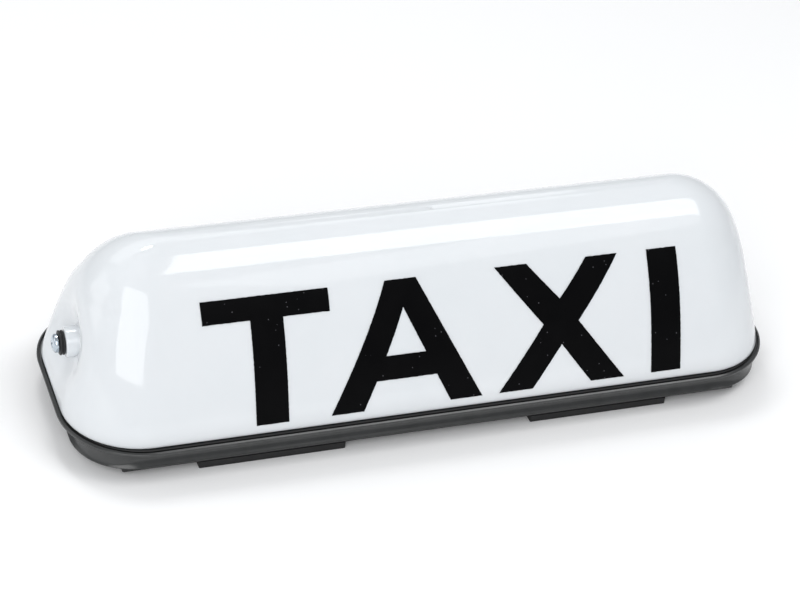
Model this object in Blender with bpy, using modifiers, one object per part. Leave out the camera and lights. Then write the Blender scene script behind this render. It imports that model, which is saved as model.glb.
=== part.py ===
"""An illuminated taxi roof sign: an opal dome screwed at its two ends over a black moulded tray.

The sign stands on two rubber-booted magnet feet. Inside the dome are a white reflector plate with
two festoon lamps between brass contacts, a terminal block and its leads. X runs along the sign,
Y to the back, Z up, and the origin is under the middle of the feet. Both long faces are alike.
"""

import math

import bmesh
import bpy
from mathutils import Matrix, Vector

MM = 0.001

# Overall sizes
RIM_HALF_LENGTH = 200.0 * MM
RIM_HALF_WIDTH = 67.1 * MM
RIM_CORNER = 44.6 * MM
THROUGH = 6.0 * MM
CUT_PAST = 2.0 * MM
CLEARANCE = 0.3 * MM

# Feet and mounting plate
FOOT_LENGTH = 80.0 * MM
FOOT_WIDTH = 119.0 * MM
FOOT_HEIGHT = 4.1 * MM
FOOT_SPACING = 185.0 * MM
FOOT_CORNER = 1.0 * MM
BOOT_WALL = 3.0 * MM
BOOT_FLOOR = 1.0 * MM
PLATE_LENGTH = 346.6 * MM
PLATE_BOTTOM = FOOT_HEIGHT + CLEARANCE
PLATE_THICKNESS = 3.1 * MM

# Tray
TRAY_BOTTOM = PLATE_BOTTOM + PLATE_THICKNESS + CLEARANCE
TRAY_FLOOR_TOP = 10.4 * MM
RIM_TOP = 20.2 * MM
RIM_EDGE = 2.0 * MM
SEAL_LAND = 18.9 * MM
SEAL_OUTER = 2.7 * MM
SEAL_INNER = 8.2 * MM
SEAL_THICKNESS = 1.0 * MM
LIP_WIDTH = 1.0 * MM
WALL_INSET_ENDS = 8.5 * MM
WALL_INSET_SIDES = 7.1 * MM
WALL_CORNER = 24.8 * MM
TRAY_INNER_LENGTH = 188.5 * MM
TRAY_INNER_WIDTH = 56.5 * MM
TRAY_INNER_CORNER = 33.0 * MM
COVE_STEPS = 6

# Dome
DOME_BOTTOM = 20.6 * MM
DOME_FOOT = 1.2 * MM
DOME_HEIGHT = 85.1 * MM
DOME_HALF_LENGTH = 196.3 * MM
DOME_HALF_WIDTH = 62.7 * MM
DOME_CORNER = 40.5 * MM
DOME_WALL = 2.6 * MM
FOOT_FLARE = 1.3 * MM
FLARE_RISE = 6.0 * MM
FACE_LEAN = 0.33
FACE_POWER = 3.24
FACE_ROUND = 1.9
END_LEAN = 0.12
END_ROUNDING = 46.4 * MM
END_POWER = 4.49
END_ROUND = 2.25
CORNER_TAPER = 0.1
DOME_LEVELS = 13
CROWN_ANGLE = math.radians(84.0)

# Fastening at each end of the dome
SCREW_HEIGHT = 47.4 * MM
DISH_DEPTH = 9.5 * MM
DISH_REACH = 40.0 * MM
DISH_RISE = 38.0 * MM
DISH_DROP = 24.0 * MM
BOSS_RADIUS = 8.0 * MM
BOSS_FACE = 191.2 * MM
BOSS_BACK = 177.5 * MM
WASHER_RADIUS = 6.6 * MM
WASHER_THICKNESS = 2.7 * MM
HEAD_RADIUS = 5.0 * MM
HEAD_HEIGHT = 3.3 * MM
RECESS_REACH = 2.7 * MM
RECESS_DEPTH = 1.9 * MM
SHANK_RADIUS = 2.4 * MM
SHANK_HOLE = 2.8 * MM
SHANK_END = 169.0 * MM
NUT_SIDE = 10.0 * MM
NUT_THICKNESS = 3.4 * MM
BRACKET_THICKNESS = 1.5 * MM
BRACKET_WIDTH = 18.0 * MM
BRACKET_TOP = 56.0 * MM
BRACKET_FOOT = 20.0 * MM
FORK_SLOT = 6.4 * MM

# Lighting
REFLECTOR_LENGTH = 290.0 * MM
REFLECTOR_WIDTH = 84.0 * MM
REFLECTOR_THICKNESS = 1.2 * MM
REFLECTOR_BOTTOM = 17.0 * MM
REFLECTOR_LEAN = 4.0 * MM
REFLECTOR_UPTURN = 9.0 * MM
SOCKET_DEPTH = 7.5 * MM
PILLAR_RADIUS = 4.5 * MM
PILLAR_X = 130.0 * MM
PILLAR_Y = 27.0 * MM
LAMP_X = 72.0 * MM
LAMP_AXIS = 38.0 * MM
LAMP_BASE_LENGTH = 62.0 * MM
LAMP_BASE_WIDTH = 20.0 * MM
LAMP_BASE_HEIGHT = 6.0 * MM
GLASS_LENGTH = 27.0 * MM
GLASS_NECKING = 1.5 * MM
GLASS_WALL = 0.9 * MM
GLASS_SHOULDER = 4.5 * MM
GLASS_RADIUS = 5.3 * MM
CAP_RADIUS = 4.2 * MM
CAP_LENGTH = 7.0 * MM
CAP_TIP = 1.4 * MM
CONTACT_THICKNESS = 0.6 * MM
CONTACT_OVER = 6.0 * MM
CONTACT_FOOT = 8.0 * MM
CONTACT_WIDTH = 9.0 * MM
CONTACT_HOLE = 2.0 * MM
TERMINAL_LENGTH = 22.0 * MM
TERMINAL_WIDTH = 16.0 * MM
TERMINAL_HEIGHT = 11.0 * MM
TERMINAL_WELL = 2.9 * MM
TERMINAL_WELL_DEPTH = 7.0 * MM
PORT_Y = 3.5 * MM
PORT_RISE = 4.0 * MM
PORT_RADIUS = 1.6 * MM
PORT_DEPTH = 3.0 * MM
CLAMP_SUNK = 3.6 * MM
CLAMP_HEAD = 1.8 * MM
CLAMP_RADIUS = 2.4 * MM
CLAMP_SHANK = 1.5 * MM
CLAMP_REACH = 3.0 * MM
CLAMP_SLOT = 0.8 * MM
CLAMP_TURN = math.radians(40.0)
LEAD_LIFT = 0.2 * MM
TERMINAL_SCREW_X = 5.5 * MM
LEAD_RADIUS = 1.1 * MM
WIRING_HOLE = 5.0 * MM
WIRING_HOLE_Y = 20.0 * MM

# Cable inlet
INLET_Y = 36.0 * MM
INLET_BORE = 3.5 * MM
INLET_NECK = 5.5 * MM
INLET_HOLE = 5.8 * MM
COLLAR_UNDER = 2.0 * MM
COLLAR_OVER = 2.2 * MM
INLET_COLLAR = 8.0 * MM

# Small fasteners
REFLECTOR_SCREW_REACH = 7.0 * MM
BRACKET_SCREW_REACH = 4.0 * MM
SMALL_HEAD_RADIUS = 3.8 * MM
SMALL_HEAD_HEIGHT = 2.4 * MM
SMALL_RECESS_REACH = 2.4 * MM
SMALL_RECESS_WIDTH = 0.9 * MM
SMALL_RECESS_DEPTH = 1.0 * MM
SMALL_RECESS_TURN = math.radians(25.0)
SMALL_SHANK_RADIUS = 1.9 * MM
SMALL_HOLE = 2.3 * MM
FOOT_SCREW_Y = 34.0 * MM
RECESS_WIDTH = 0.9 * MM

ROUND_STEPS = 20
SMALL_STEPS = 14
CORNER_STEPS = 6
SMOOTH_ANGLE = math.radians(35.0)


def clear_scene():
    """Empties the startup scene."""
    for existing in list(bpy.data.objects):
        bpy.data.objects.remove(existing, do_unlink=True)


def make_collection(name):
    """A collection of that name in the scene."""
    collection = bpy.data.collections.new(name)
    bpy.context.scene.collection.children.link(collection)
    return collection


def make_material(name, colour, roughness, metallic=0.0):
    """A material with a Principled BSDF of one colour."""
    material = bpy.data.materials.new(name)
    material.use_nodes = True
    shader = material.node_tree.nodes["Principled BSDF"]
    shader.inputs["Base Color"].default_value = (*colour, 1.0)
    shader.inputs["Roughness"].default_value = roughness
    shader.inputs["Metallic"].default_value = metallic
    return material


def opal_dome_plastic():
    """Glossy opal acrylic."""
    return make_material("opal_acrylic", (0.78, 0.81, 0.84), 0.12)


def black_tray_plastic():
    """Fine-textured black ABS."""
    return make_material("black_abs", (0.03, 0.031, 0.033), 0.42)


def black_rubber():
    """Black rubber of the boots, washers, gasket and grommet."""
    return make_material("black_rubber", (0.015, 0.015, 0.016), 0.65)


def coated_steel():
    """Black powder-coated steel."""
    return make_material("black_coated_steel", (0.02, 0.02, 0.021), 0.5)


def zinc_steel():
    """Zinc-plated fasteners and brackets."""
    return make_material("zinc_steel", (0.62, 0.66, 0.7), 0.28, 1.0)


def white_paint():
    """White enamel of the reflector."""
    return make_material("white_enamel", (0.85, 0.85, 0.83), 0.35)


def brass():
    """Bright brass of the contacts and the terminal screws."""
    return make_material("brass", (0.72, 0.52, 0.2), 0.3, 1.0)


def lamp_glass():
    """Clear glass of the lamps."""
    return make_material("clear_glass", (0.9, 0.92, 0.92), 0.05)


def nickel_cap():
    """Nickel-plated lamp caps."""
    return make_material("nickel", (0.7, 0.68, 0.64), 0.25, 1.0)


def magnet_ferrite():
    """Dark grey ferrite."""
    return make_material("ferrite", (0.05, 0.05, 0.055), 0.7)


def cream_nylon():
    """Natural nylon of the terminal block."""
    return make_material("cream_nylon", (0.75, 0.7, 0.58), 0.5)


def brown_phenolic():
    """Brown moulded lamp base."""
    return make_material("brown_phenolic", (0.09, 0.035, 0.015), 0.4)


def lead_insulation(name, colour):
    """Soft PVC of a lead."""
    return make_material(name, colour, 0.45)


def add_object(name, mesh, material, collection):
    """An object of that mesh in the collection."""
    made = bpy.data.objects.new(name, mesh)
    if material:
        mesh.materials.append(material)
    collection.objects.link(made)
    return made


def mesh_object(name, shape, material, collection):
    """Turns a bmesh into an object shaded smooth up to the sharp edges."""
    bmesh.ops.recalc_face_normals(shape, faces=shape.faces)
    mesh = bpy.data.meshes.new(name)
    shape.to_mesh(mesh)
    shape.free()
    mesh.shade_smooth()
    mesh.set_sharp_from_angle(angle=SMOOTH_ANGLE)
    return add_object(name, mesh, material, collection)


def box(name, low, high, material, collection, corner=0.0):
    """A box between two corners, with rounded upright edges when a corner radius is given."""
    size = Vector(high) - Vector(low)
    middle = (Vector(high) + Vector(low)) / 2
    shape = bmesh.new()
    bmesh.ops.create_cube(shape, size=1.0)
    bmesh.ops.scale(shape, vec=size, verts=shape.verts)
    bmesh.ops.translate(shape, vec=middle, verts=shape.verts)
    if corner:
        upright = [e for e in shape.edges if abs(e.verts[0].co.z - e.verts[1].co.z) > size.z / 2]
        bmesh.ops.bevel(
            shape, geom=upright, offset=corner, segments=4, affect="EDGES", profile=0.5, material=-1
        )
    return mesh_object(name, shape, material, collection)


def turned(name, profile, place, material, collection, steps=ROUND_STEPS):
    """Turns a profile of (radius, height) points about the axis of the placing matrix."""
    mesh = bpy.data.meshes.new(name)
    points = [(radius, 0.0, height) for radius, height in profile]
    mesh.from_pydata(points, [(i, i + 1) for i in range(len(points) - 1)], [])
    made = add_object(name, mesh, material, collection)
    made.matrix_world = place
    screw = made.modifiers.new("turn", "SCREW")
    screw.axis = "Z"
    screw.steps = steps
    screw.render_steps = steps
    screw.use_merge_vertices = True
    screw.merge_threshold = 0.00001
    screw.use_smooth_shade = True
    return made


def closed_profile(name, points, place, material, collection, steps=ROUND_STEPS):
    """Turns a closed outline of (radius, height) points into a ring."""
    mesh = bpy.data.meshes.new(name)
    corners = [(radius, 0.0, height) for radius, height in points]
    edges = [(i, (i + 1) % len(corners)) for i in range(len(corners))]
    mesh.from_pydata(corners, edges, [])
    made = add_object(name, mesh, material, collection)
    made.matrix_world = place
    screw = made.modifiers.new("turn", "SCREW")
    screw.axis = "Z"
    screw.steps = steps
    screw.render_steps = steps
    screw.use_merge_vertices = True
    screw.merge_threshold = 0.00001
    screw.use_smooth_shade = True
    return made


def cylinders(name, axes, collection, axis="Z"):
    """One helper mesh of separate cylinders, each (centre, radius, half length) along an axis."""
    turn = {"Z": Matrix(), "X": Matrix.Rotation(math.pi / 2, 4, "Y")}[axis]
    shape = bmesh.new()
    for centre, radius, half in axes:
        bmesh.ops.create_cone(
            shape,
            cap_ends=True,
            segments=ROUND_STEPS,
            radius1=radius,
            radius2=radius,
            depth=2 * half,
            matrix=Matrix.Translation(centre) @ turn,
        )
    return helper(mesh_object(name, shape, None, collection))


def helper(made):
    """Keeps a cutter or a joining shape out of the finished sign."""
    made.hide_render = True
    made.display_type = "WIRE"
    return made


def combine(made, tool, operation):
    """Joins or cuts an object with a helper."""
    boolean = made.modifiers.new(operation.lower() + "_" + tool.name, "BOOLEAN")
    boolean.operation = operation
    boolean.solver = "EXACT"
    boolean.object = tool


def rounded_ring(shape, half_length, half_width, corner, height, end_steps=1, dent=None):
    """A ring of vertices round a rectangle with rounded corners, some of them along each end."""
    points = []
    for quarter in range(4):
        side_x = 1 if quarter in (0, 3) else -1
        side_y = 1 if quarter in (0, 1) else -1
        for step in range(CORNER_STEPS + 1):
            angle = (quarter + step / CORNER_STEPS) * math.pi / 2
            x = side_x * (half_length - corner) + corner * math.cos(angle)
            y = side_y * (half_width - corner) + corner * math.sin(angle)
            points.append((x, y))
        if quarter in (1, 3):
            # The straight stretch of the end, which the dish bends inwards.
            reach = half_width - corner
            for step in range(1, end_steps):
                y = -side_x * reach * (1 - 2 * step / end_steps)
                points.append((side_x * half_length, y))
    ring = []
    for x, y in points:
        if dent:
            x -= math.copysign(dent(y, height), x)
        ring.append(shape.verts.new((x, y, height)))
    return ring


def loft(shape, rings):
    """Walls from each ring to the next, whose corners differ."""
    for lower, upper in zip(rings, rings[1:]):
        for i in range(len(lower)):
            after = (i + 1) % len(lower)
            shape.faces.new((lower[i], lower[after], upper[after], upper[i]))


def wall_ring(shape, inward, height):
    """A ring between the rim's outline, at 0, and the foot of the tray's wall, at 1."""
    return rounded_ring(
        shape,
        RIM_HALF_LENGTH - WALL_INSET_ENDS * inward,
        RIM_HALF_WIDTH - WALL_INSET_SIDES * inward,
        RIM_CORNER + (WALL_CORNER - RIM_CORNER) * inward,
        height,
    )


def offset_ring(shape, inset, height):
    """A ring inside the rim's outline by the same distance all round."""
    return rounded_ring(
        shape, RIM_HALF_LENGTH - inset, RIM_HALF_WIDTH - inset, RIM_CORNER - inset, height
    )


def base_tray(material, parts, tools):
    """The black tray: a floor, a hollow-curved wall that flares out to the rim, and pillars."""
    shape = bmesh.new()
    wall_foot = TRAY_BOTTOM + 0.8 * MM
    cove_top = RIM_TOP - RIM_EDGE
    rings = [wall_ring(shape, 1.05, TRAY_BOTTOM), wall_ring(shape, 1.0, wall_foot)]
    for step in range(1, COVE_STEPS + 1):
        angle = math.pi / 2 * step / COVE_STEPS
        inward = 1.0 - 0.88 * (1.0 - math.cos(angle))
        rings.append(wall_ring(shape, inward, wall_foot + (cove_top - wall_foot) * math.sin(angle)))
    rings += [
        wall_ring(shape, 0.0, cove_top + 0.2 * MM),
        wall_ring(shape, 0.0, RIM_TOP - 0.4 * MM),
        offset_ring(shape, 0.4 * MM, RIM_TOP),
        offset_ring(shape, LIP_WIDTH, RIM_TOP),
        offset_ring(shape, LIP_WIDTH + 0.2 * MM, SEAL_LAND),
    ]
    for height in (SEAL_LAND, TRAY_FLOOR_TOP):
        rings.append(
            rounded_ring(shape, TRAY_INNER_LENGTH, TRAY_INNER_WIDTH, TRAY_INNER_CORNER, height)
        )
    loft(shape, rings)
    shape.faces.new(rings[0])
    shape.faces.new(rings[-1])
    tray = mesh_object("base_tray", shape, material, parts)

    pillar_half = (REFLECTOR_BOTTOM - CLEARANCE - TRAY_FLOOR_TOP) / 2 + 0.5 * MM
    pillar_middle = REFLECTOR_BOTTOM - CLEARANCE - pillar_half
    pillars = [((x, y, pillar_middle), PILLAR_RADIUS, pillar_half) for x, y in pillar_places()]
    combine(tray, cylinders("tray_pillars", pillars, tools), "UNION")
    floor = (TRAY_BOTTOM + TRAY_FLOOR_TOP) / 2
    holes = [((x, y, floor), SMALL_HOLE, THROUGH) for x, y in foot_screw_places()]
    holes += [((x, 0.0, floor), SMALL_HOLE, THROUGH) for x in bracket_screw_places()]
    holes.append(((0.0, INLET_Y, floor), INLET_HOLE, THROUGH))
    combine(tray, cylinders("tray_holes", holes, tools), "DIFFERENCE")
    sockets = [((x, y, REFLECTOR_BOTTOM), SMALL_HOLE, SOCKET_DEPTH) for x, y in pillar_places()]
    combine(tray, cylinders("tray_sockets", sockets, tools), "DIFFERENCE")
    return tray


def pillar_places():
    """Where the reflector is screwed down."""
    return [(x, y) for x in (-PILLAR_X, PILLAR_X) for y in (-PILLAR_Y, PILLAR_Y)]


def foot_places():
    """The middles of the two feet along X."""
    return [("left", -FOOT_SPACING / 2), ("right", FOOT_SPACING / 2)]


def foot_screw_places():
    """Where the feet are screwed to the tray."""
    return [(x, y) for _, x in foot_places() for y in (-FOOT_SCREW_Y, FOOT_SCREW_Y)]


def bracket_screw_places():
    """Where the end brackets are screwed to the tray."""
    middle = BOSS_BACK - CLEARANCE - BRACKET_FOOT / 2 - BRACKET_THICKNESS
    return (-middle, middle)


def cover_seal(material, parts):
    """The gasket that lies on the tray's land under the dome's foot."""
    shape = bmesh.new()
    rings = [
        offset_ring(shape, inset, height)
        for inset, height in (
            (SEAL_INNER, SEAL_LAND + CLEARANCE),
            (SEAL_OUTER, SEAL_LAND + CLEARANCE),
            (SEAL_OUTER, SEAL_LAND + CLEARANCE + SEAL_THICKNESS),
            (SEAL_INNER, SEAL_LAND + CLEARANCE + SEAL_THICKNESS),
        )
    ]
    loft(shape, rings + [rings[0]])
    return mesh_object("cover_seal", shape, material, parts)


def dish(y, height):
    """How far the dish round an end screw draws the dome's end inwards."""
    over = height - SCREW_HEIGHT
    away = math.hypot(y / DISH_REACH, over / (DISH_RISE if over > 0 else DISH_DROP))
    return DISH_DEPTH * math.cos(math.pi / 2 * away) ** 2 if away < 1 else 0.0


def dome_section(angle):
    """(half length, half width, corner radius, height above the foot) of the dome at a level."""
    rise = DOME_HEIGHT * math.sin(angle) ** (2 / FACE_POWER)
    share = rise / DOME_HEIGHT
    half_width = (DOME_HALF_WIDTH - FACE_LEAN * rise) * math.cos(angle) ** (2 / FACE_ROUND)
    rounded = (1 - share**END_POWER) ** (1 / END_ROUND)
    flare = FOOT_FLARE * math.exp(-rise / FLARE_RISE)
    half_length = DOME_HALF_LENGTH + flare - END_LEAN * rise - END_ROUNDING * (1 - rounded)
    corner = min(DOME_CORNER - CORNER_TAPER * rise, half_width * 0.98)
    return half_length, half_width, corner, rise


def cover(material, parts, tools):
    """The dome: one opal shell, with a drilled boss through each end."""
    shape = bmesh.new()
    half_length, half_width, corner, _ = dome_section(0.0)
    rings = [rounded_ring(shape, half_length, half_width, corner, DOME_BOTTOM, 8, dish)]
    for level in range(DOME_LEVELS):
        half_length, half_width, corner, rise = dome_section(CROWN_ANGLE * level / (DOME_LEVELS - 1))
        height = DOME_BOTTOM + DOME_FOOT + rise
        rings.append(rounded_ring(shape, half_length, half_width, corner, height, 8, dish))
    loft(shape, rings)
    shape.faces.new(rings[-1])
    dome = mesh_object("cover", shape, material, parts)
    shell = dome.modifiers.new("wall", "SOLIDIFY")
    shell.thickness = DOME_WALL
    shell.offset = -1.0
    shell.use_even_offset = True
    half = (BOSS_FACE - BOSS_BACK) / 2
    middle = (BOSS_FACE + BOSS_BACK) / 2
    bosses = [((side * middle, 0.0, SCREW_HEIGHT), BOSS_RADIUS, half) for side in (-1, 1)]
    combine(dome, cylinders("cover_bosses", bosses, tools, "X"), "UNION")
    holes = [((side * middle, 0.0, SCREW_HEIGHT), SHANK_HOLE, 2 * THROUGH) for side in (-1, 1)]
    combine(dome, cylinders("cover_holes", holes, tools, "X"), "DIFFERENCE")
    return dome


def along_x(side, distance):
    """Places a turned piece on a screw's axis, its +Z pointing out of that end of the sign."""
    turn = Matrix.Rotation(side * math.pi / 2, 4, "Y")
    return Matrix.Translation((side * distance, 0.0, SCREW_HEIGHT)) @ turn


def end_screw(name, side, material, parts, tools):
    """The cross-recessed pan-head screw at one end, its origin on its own axis."""
    seat = BOSS_FACE + CLEARANCE + WASHER_THICKNESS + CLEARANCE
    profile = [(0.0, HEAD_HEIGHT)]
    for share in (0.3, 0.55, 0.78, 0.93):
        profile.append((HEAD_RADIUS * share, HEAD_HEIGHT * (1 - 0.6 * share**3)))
    profile += [
        (HEAD_RADIUS, HEAD_HEIGHT * 0.3),
        (HEAD_RADIUS * 0.97, 0.0),
        (SHANK_RADIUS, 0.0),
        (SHANK_RADIUS, SHANK_END - seat + 0.6 * MM),
        (SHANK_RADIUS - 0.6 * MM, SHANK_END - seat),
        (0.0, SHANK_END - seat),
    ]
    screw = turned(name, profile, along_x(side, seat), material, parts)
    for number, turn in enumerate((0.0, math.pi / 2)):
        blade = box(
            f"{name}_recess_{number}",
            (-RECESS_REACH, -RECESS_WIDTH / 2, HEAD_HEIGHT - RECESS_DEPTH),
            (RECESS_REACH, RECESS_WIDTH / 2, HEAD_HEIGHT + CUT_PAST),
            None,
            tools,
        )
        blade.matrix_world = along_x(side, seat) @ Matrix.Rotation(turn + math.pi / 4, 4, "Z")
        combine(screw, helper(blade), "DIFFERENCE")
    return screw


def end_washer(name, side, material, parts):
    """The rubber washer between the boss and the screw's head."""
    edge = 0.5 * MM
    outline = [
        (WASHER_RADIUS - edge, WASHER_THICKNESS),
        (WASHER_RADIUS, WASHER_THICKNESS - edge),
        (WASHER_RADIUS, WASHER_THICKNESS * 0.62),
        (WASHER_RADIUS - edge, WASHER_THICKNESS * 0.5),
        (WASHER_RADIUS, WASHER_THICKNESS * 0.38),
        (WASHER_RADIUS, edge),
        (WASHER_RADIUS - edge, 0.0),
        (SHANK_HOLE, 0.0),
        (SHANK_HOLE, WASHER_THICKNESS),
    ]
    return closed_profile(name, outline, along_x(side, BOSS_FACE + CLEARANCE), material, parts)


def end_nut(name, side, material, parts, tools):
    """The square nut on the inner end of an end screw, behind the fork."""
    outer = BOSS_BACK - 2 * CLEARANCE - BRACKET_THICKNESS - CLEARANCE
    faces = sorted((side * outer, side * (outer - NUT_THICKNESS)))
    nut = box(
        name,
        (faces[0], -NUT_SIDE / 2, SCREW_HEIGHT - NUT_SIDE / 2),
        (faces[1], NUT_SIDE / 2, SCREW_HEIGHT + NUT_SIDE / 2),
        material,
        parts,
    )
    hole = [((side * outer, 0.0, SCREW_HEIGHT), SHANK_HOLE, 2 * THROUGH)]
    combine(nut, cylinders(name + "_hole", hole, tools, "X"), "DIFFERENCE")
    return nut


def end_bracket(name, side, material, parts, tools):
    """The steel angle at one end, with a fork open at the top for the screw."""
    outer = BOSS_BACK - CLEARANCE
    inner = outer - BRACKET_THICKNESS
    bottom = TRAY_FLOOR_TOP + CLEARANCE
    outline = [
        (outer, bottom),
        (outer, BRACKET_TOP),
        (inner, BRACKET_TOP),
        (inner, bottom + BRACKET_THICKNESS),
        (outer - BRACKET_FOOT, bottom + BRACKET_THICKNESS),
        (outer - BRACKET_FOOT, bottom),
    ]
    shape = bmesh.new()
    corners = [shape.verts.new((side * x, -BRACKET_WIDTH / 2, z)) for x, z in outline]
    face = shape.faces.new(corners)
    grown = bmesh.ops.extrude_face_region(shape, geom=[face])["geom"]
    moved = [item for item in grown if isinstance(item, bmesh.types.BMVert)]
    bmesh.ops.translate(shape, vec=(0.0, BRACKET_WIDTH, 0.0), verts=moved)
    bracket = mesh_object(name, shape, material, parts)
    slot_low = SCREW_HEIGHT - FORK_SLOT / 2
    faces = sorted((side * (outer + CUT_PAST), side * (inner - CUT_PAST)))
    slot = box(
        name + "_slot",
        (faces[0], -FORK_SLOT / 2, slot_low),
        (faces[1], FORK_SLOT / 2, BRACKET_TOP + CUT_PAST),
        None,
        tools,
    )
    combine(bracket, helper(slot), "DIFFERENCE")
    place = bracket_screw_places()[side > 0]
    hole = [((place, 0.0, bottom), SMALL_HOLE, THROUGH)]
    combine(bracket, cylinders(name + "_hole", hole, tools), "DIFFERENCE")
    return bracket


def small_screw(name, x, y, seat, reach, material, parts, tools):
    """An upright pan-head screw with a cross recess, its head sitting at a height."""
    profile = [
        (0.0, SMALL_HEAD_HEIGHT),
        (SMALL_HEAD_RADIUS * 0.6, SMALL_HEAD_HEIGHT * 0.9),
        (SMALL_HEAD_RADIUS * 0.9, SMALL_HEAD_HEIGHT * 0.6),
        (SMALL_HEAD_RADIUS, SMALL_HEAD_HEIGHT * 0.25),
        (SMALL_HEAD_RADIUS, 0.0),
        (SMALL_SHANK_RADIUS, 0.0),
        (SMALL_SHANK_RADIUS, -reach + 0.5 * MM),
        (SMALL_SHANK_RADIUS - 0.5 * MM, -reach),
        (0.0, -reach),
    ]
    place = Matrix.Translation((x, y, seat))
    screw = turned(name, profile, place, material, parts, SMALL_STEPS)
    blade = box(
        name + "_slot",
        (-SMALL_RECESS_REACH, -SMALL_RECESS_WIDTH / 2, SMALL_HEAD_HEIGHT - SMALL_RECESS_DEPTH),
        (SMALL_RECESS_REACH, SMALL_RECESS_WIDTH / 2, SMALL_HEAD_HEIGHT + CUT_PAST),
        None,
        tools,
    )
    blade.matrix_world = place @ Matrix.Rotation(SMALL_RECESS_TURN, 4, "Z")
    combine(screw, helper(blade), "DIFFERENCE")
    return screw


def mounting_plate(material, parts, tools):
    """The coated steel plate under the tray, which joins the two feet."""
    plate = box(
        "mounting_plate",
        (-PLATE_LENGTH / 2, -FOOT_WIDTH / 2, PLATE_BOTTOM),
        (PLATE_LENGTH / 2, FOOT_WIDTH / 2, PLATE_BOTTOM + PLATE_THICKNESS),
        material,
        parts,
        2.0 * MM,
    )
    holes = [((x, y, PLATE_BOTTOM), SMALL_HOLE, THROUGH) for x, y in foot_screw_places()]
    holes.append(((0.0, INLET_Y, PLATE_BOTTOM), INLET_COLLAR + 1.5 * MM, THROUGH))
    combine(plate, cylinders("plate_holes", holes, tools), "DIFFERENCE")
    return plate


def foot_boot(name, middle, material, parts, tools):
    """The rubber boot of one foot, open at the top for its magnet."""
    boot = box(
        name,
        (middle - FOOT_LENGTH / 2, -FOOT_WIDTH / 2, 0.0),
        (middle + FOOT_LENGTH / 2, FOOT_WIDTH / 2, FOOT_HEIGHT),
        material,
        parts,
        FOOT_CORNER,
    )
    pocket = box(
        name + "_pocket",
        (middle - FOOT_LENGTH / 2 + BOOT_WALL, -FOOT_WIDTH / 2 + BOOT_WALL, BOOT_FLOOR),
        (middle + FOOT_LENGTH / 2 - BOOT_WALL, FOOT_WIDTH / 2 - BOOT_WALL, FOOT_HEIGHT + CUT_PAST),
        None,
        tools,
    )
    combine(boot, helper(pocket), "DIFFERENCE")
    return boot


def foot_magnet(name, middle, material, parts, tools):
    """The flat magnet inside one boot, drilled for the two foot screws."""
    half_length = FOOT_LENGTH / 2 - BOOT_WALL - CLEARANCE
    half_width = FOOT_WIDTH / 2 - BOOT_WALL - CLEARANCE
    bottom = BOOT_FLOOR + CLEARANCE
    magnet = box(
        name,
        (middle - half_length, -half_width, bottom),
        (middle + half_length, half_width, FOOT_HEIGHT),
        material,
        parts,
    )
    holes = [((middle, y, bottom), SMALL_HOLE, THROUGH) for y in (-FOOT_SCREW_Y, FOOT_SCREW_Y)]
    combine(magnet, cylinders(name + "_holes", holes, tools), "DIFFERENCE")
    return magnet


def cable_grommet(material, parts):
    """The rubber grommet of the cable inlet in the tray's floor."""
    under = TRAY_BOTTOM - CLEARANCE - COLLAR_UNDER
    over = TRAY_FLOOR_TOP + CLEARANCE + COLLAR_OVER
    outline = [
        (INLET_NECK, over),
        (INLET_COLLAR, over - 1.0 * MM),
        (INLET_COLLAR, TRAY_FLOOR_TOP + CLEARANCE),
        (INLET_NECK, TRAY_FLOOR_TOP + CLEARANCE),
        (INLET_NECK, TRAY_BOTTOM - CLEARANCE),
        (INLET_COLLAR, TRAY_BOTTOM - CLEARANCE),
        (INLET_COLLAR, under),
        (INLET_BORE, under),
        (INLET_BORE, over),
    ]
    place = Matrix.Translation((0.0, INLET_Y, 0.0))
    return closed_profile("cable_grommet", outline, place, material, parts)


def reflector_plate(material, parts, tools):
    """The white steel plate that carries the lamps, its long edges turned up."""
    half = REFLECTOR_WIDTH / 2
    low = REFLECTOR_BOTTOM
    top = REFLECTOR_BOTTOM + REFLECTOR_THICKNESS
    outline = [
        (-half, low),
        (half, low),
        (half + REFLECTOR_LEAN, low + REFLECTOR_UPTURN),
        (half + REFLECTOR_LEAN - REFLECTOR_THICKNESS, low + REFLECTOR_UPTURN),
        (half - REFLECTOR_THICKNESS, top),
        (-half + REFLECTOR_THICKNESS, top),
        (-half - REFLECTOR_LEAN + REFLECTOR_THICKNESS, low + REFLECTOR_UPTURN),
        (-half - REFLECTOR_LEAN, low + REFLECTOR_UPTURN),
    ]
    shape = bmesh.new()
    corners = [shape.verts.new((-REFLECTOR_LENGTH / 2, y, z)) for y, z in outline]
    face = shape.faces.new(corners)
    grown = bmesh.ops.extrude_face_region(shape, geom=[face])["geom"]
    moved = [item for item in grown if isinstance(item, bmesh.types.BMVert)]
    bmesh.ops.translate(shape, vec=(REFLECTOR_LENGTH, 0.0, 0.0), verts=moved)
    plate = mesh_object("reflector_plate", shape, material, parts)
    holes = [((x, y, low), SMALL_HOLE, THROUGH) for x, y in pillar_places()]
    holes.append(((0.0, WIRING_HOLE_Y, low), WIRING_HOLE, THROUGH))
    combine(plate, cylinders("reflector_holes", holes, tools), "DIFFERENCE")
    return plate


def lamp_base(name, middle, material, parts):
    """The insulating block under one lamp."""
    bottom = REFLECTOR_BOTTOM + REFLECTOR_THICKNESS + CLEARANCE
    return box(
        name,
        (middle - LAMP_BASE_LENGTH / 2, -LAMP_BASE_WIDTH / 2, bottom),
        (middle + LAMP_BASE_LENGTH / 2, LAMP_BASE_WIDTH / 2, bottom + LAMP_BASE_HEIGHT),
        material,
        parts,
        3.0 * MM,
    )


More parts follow.
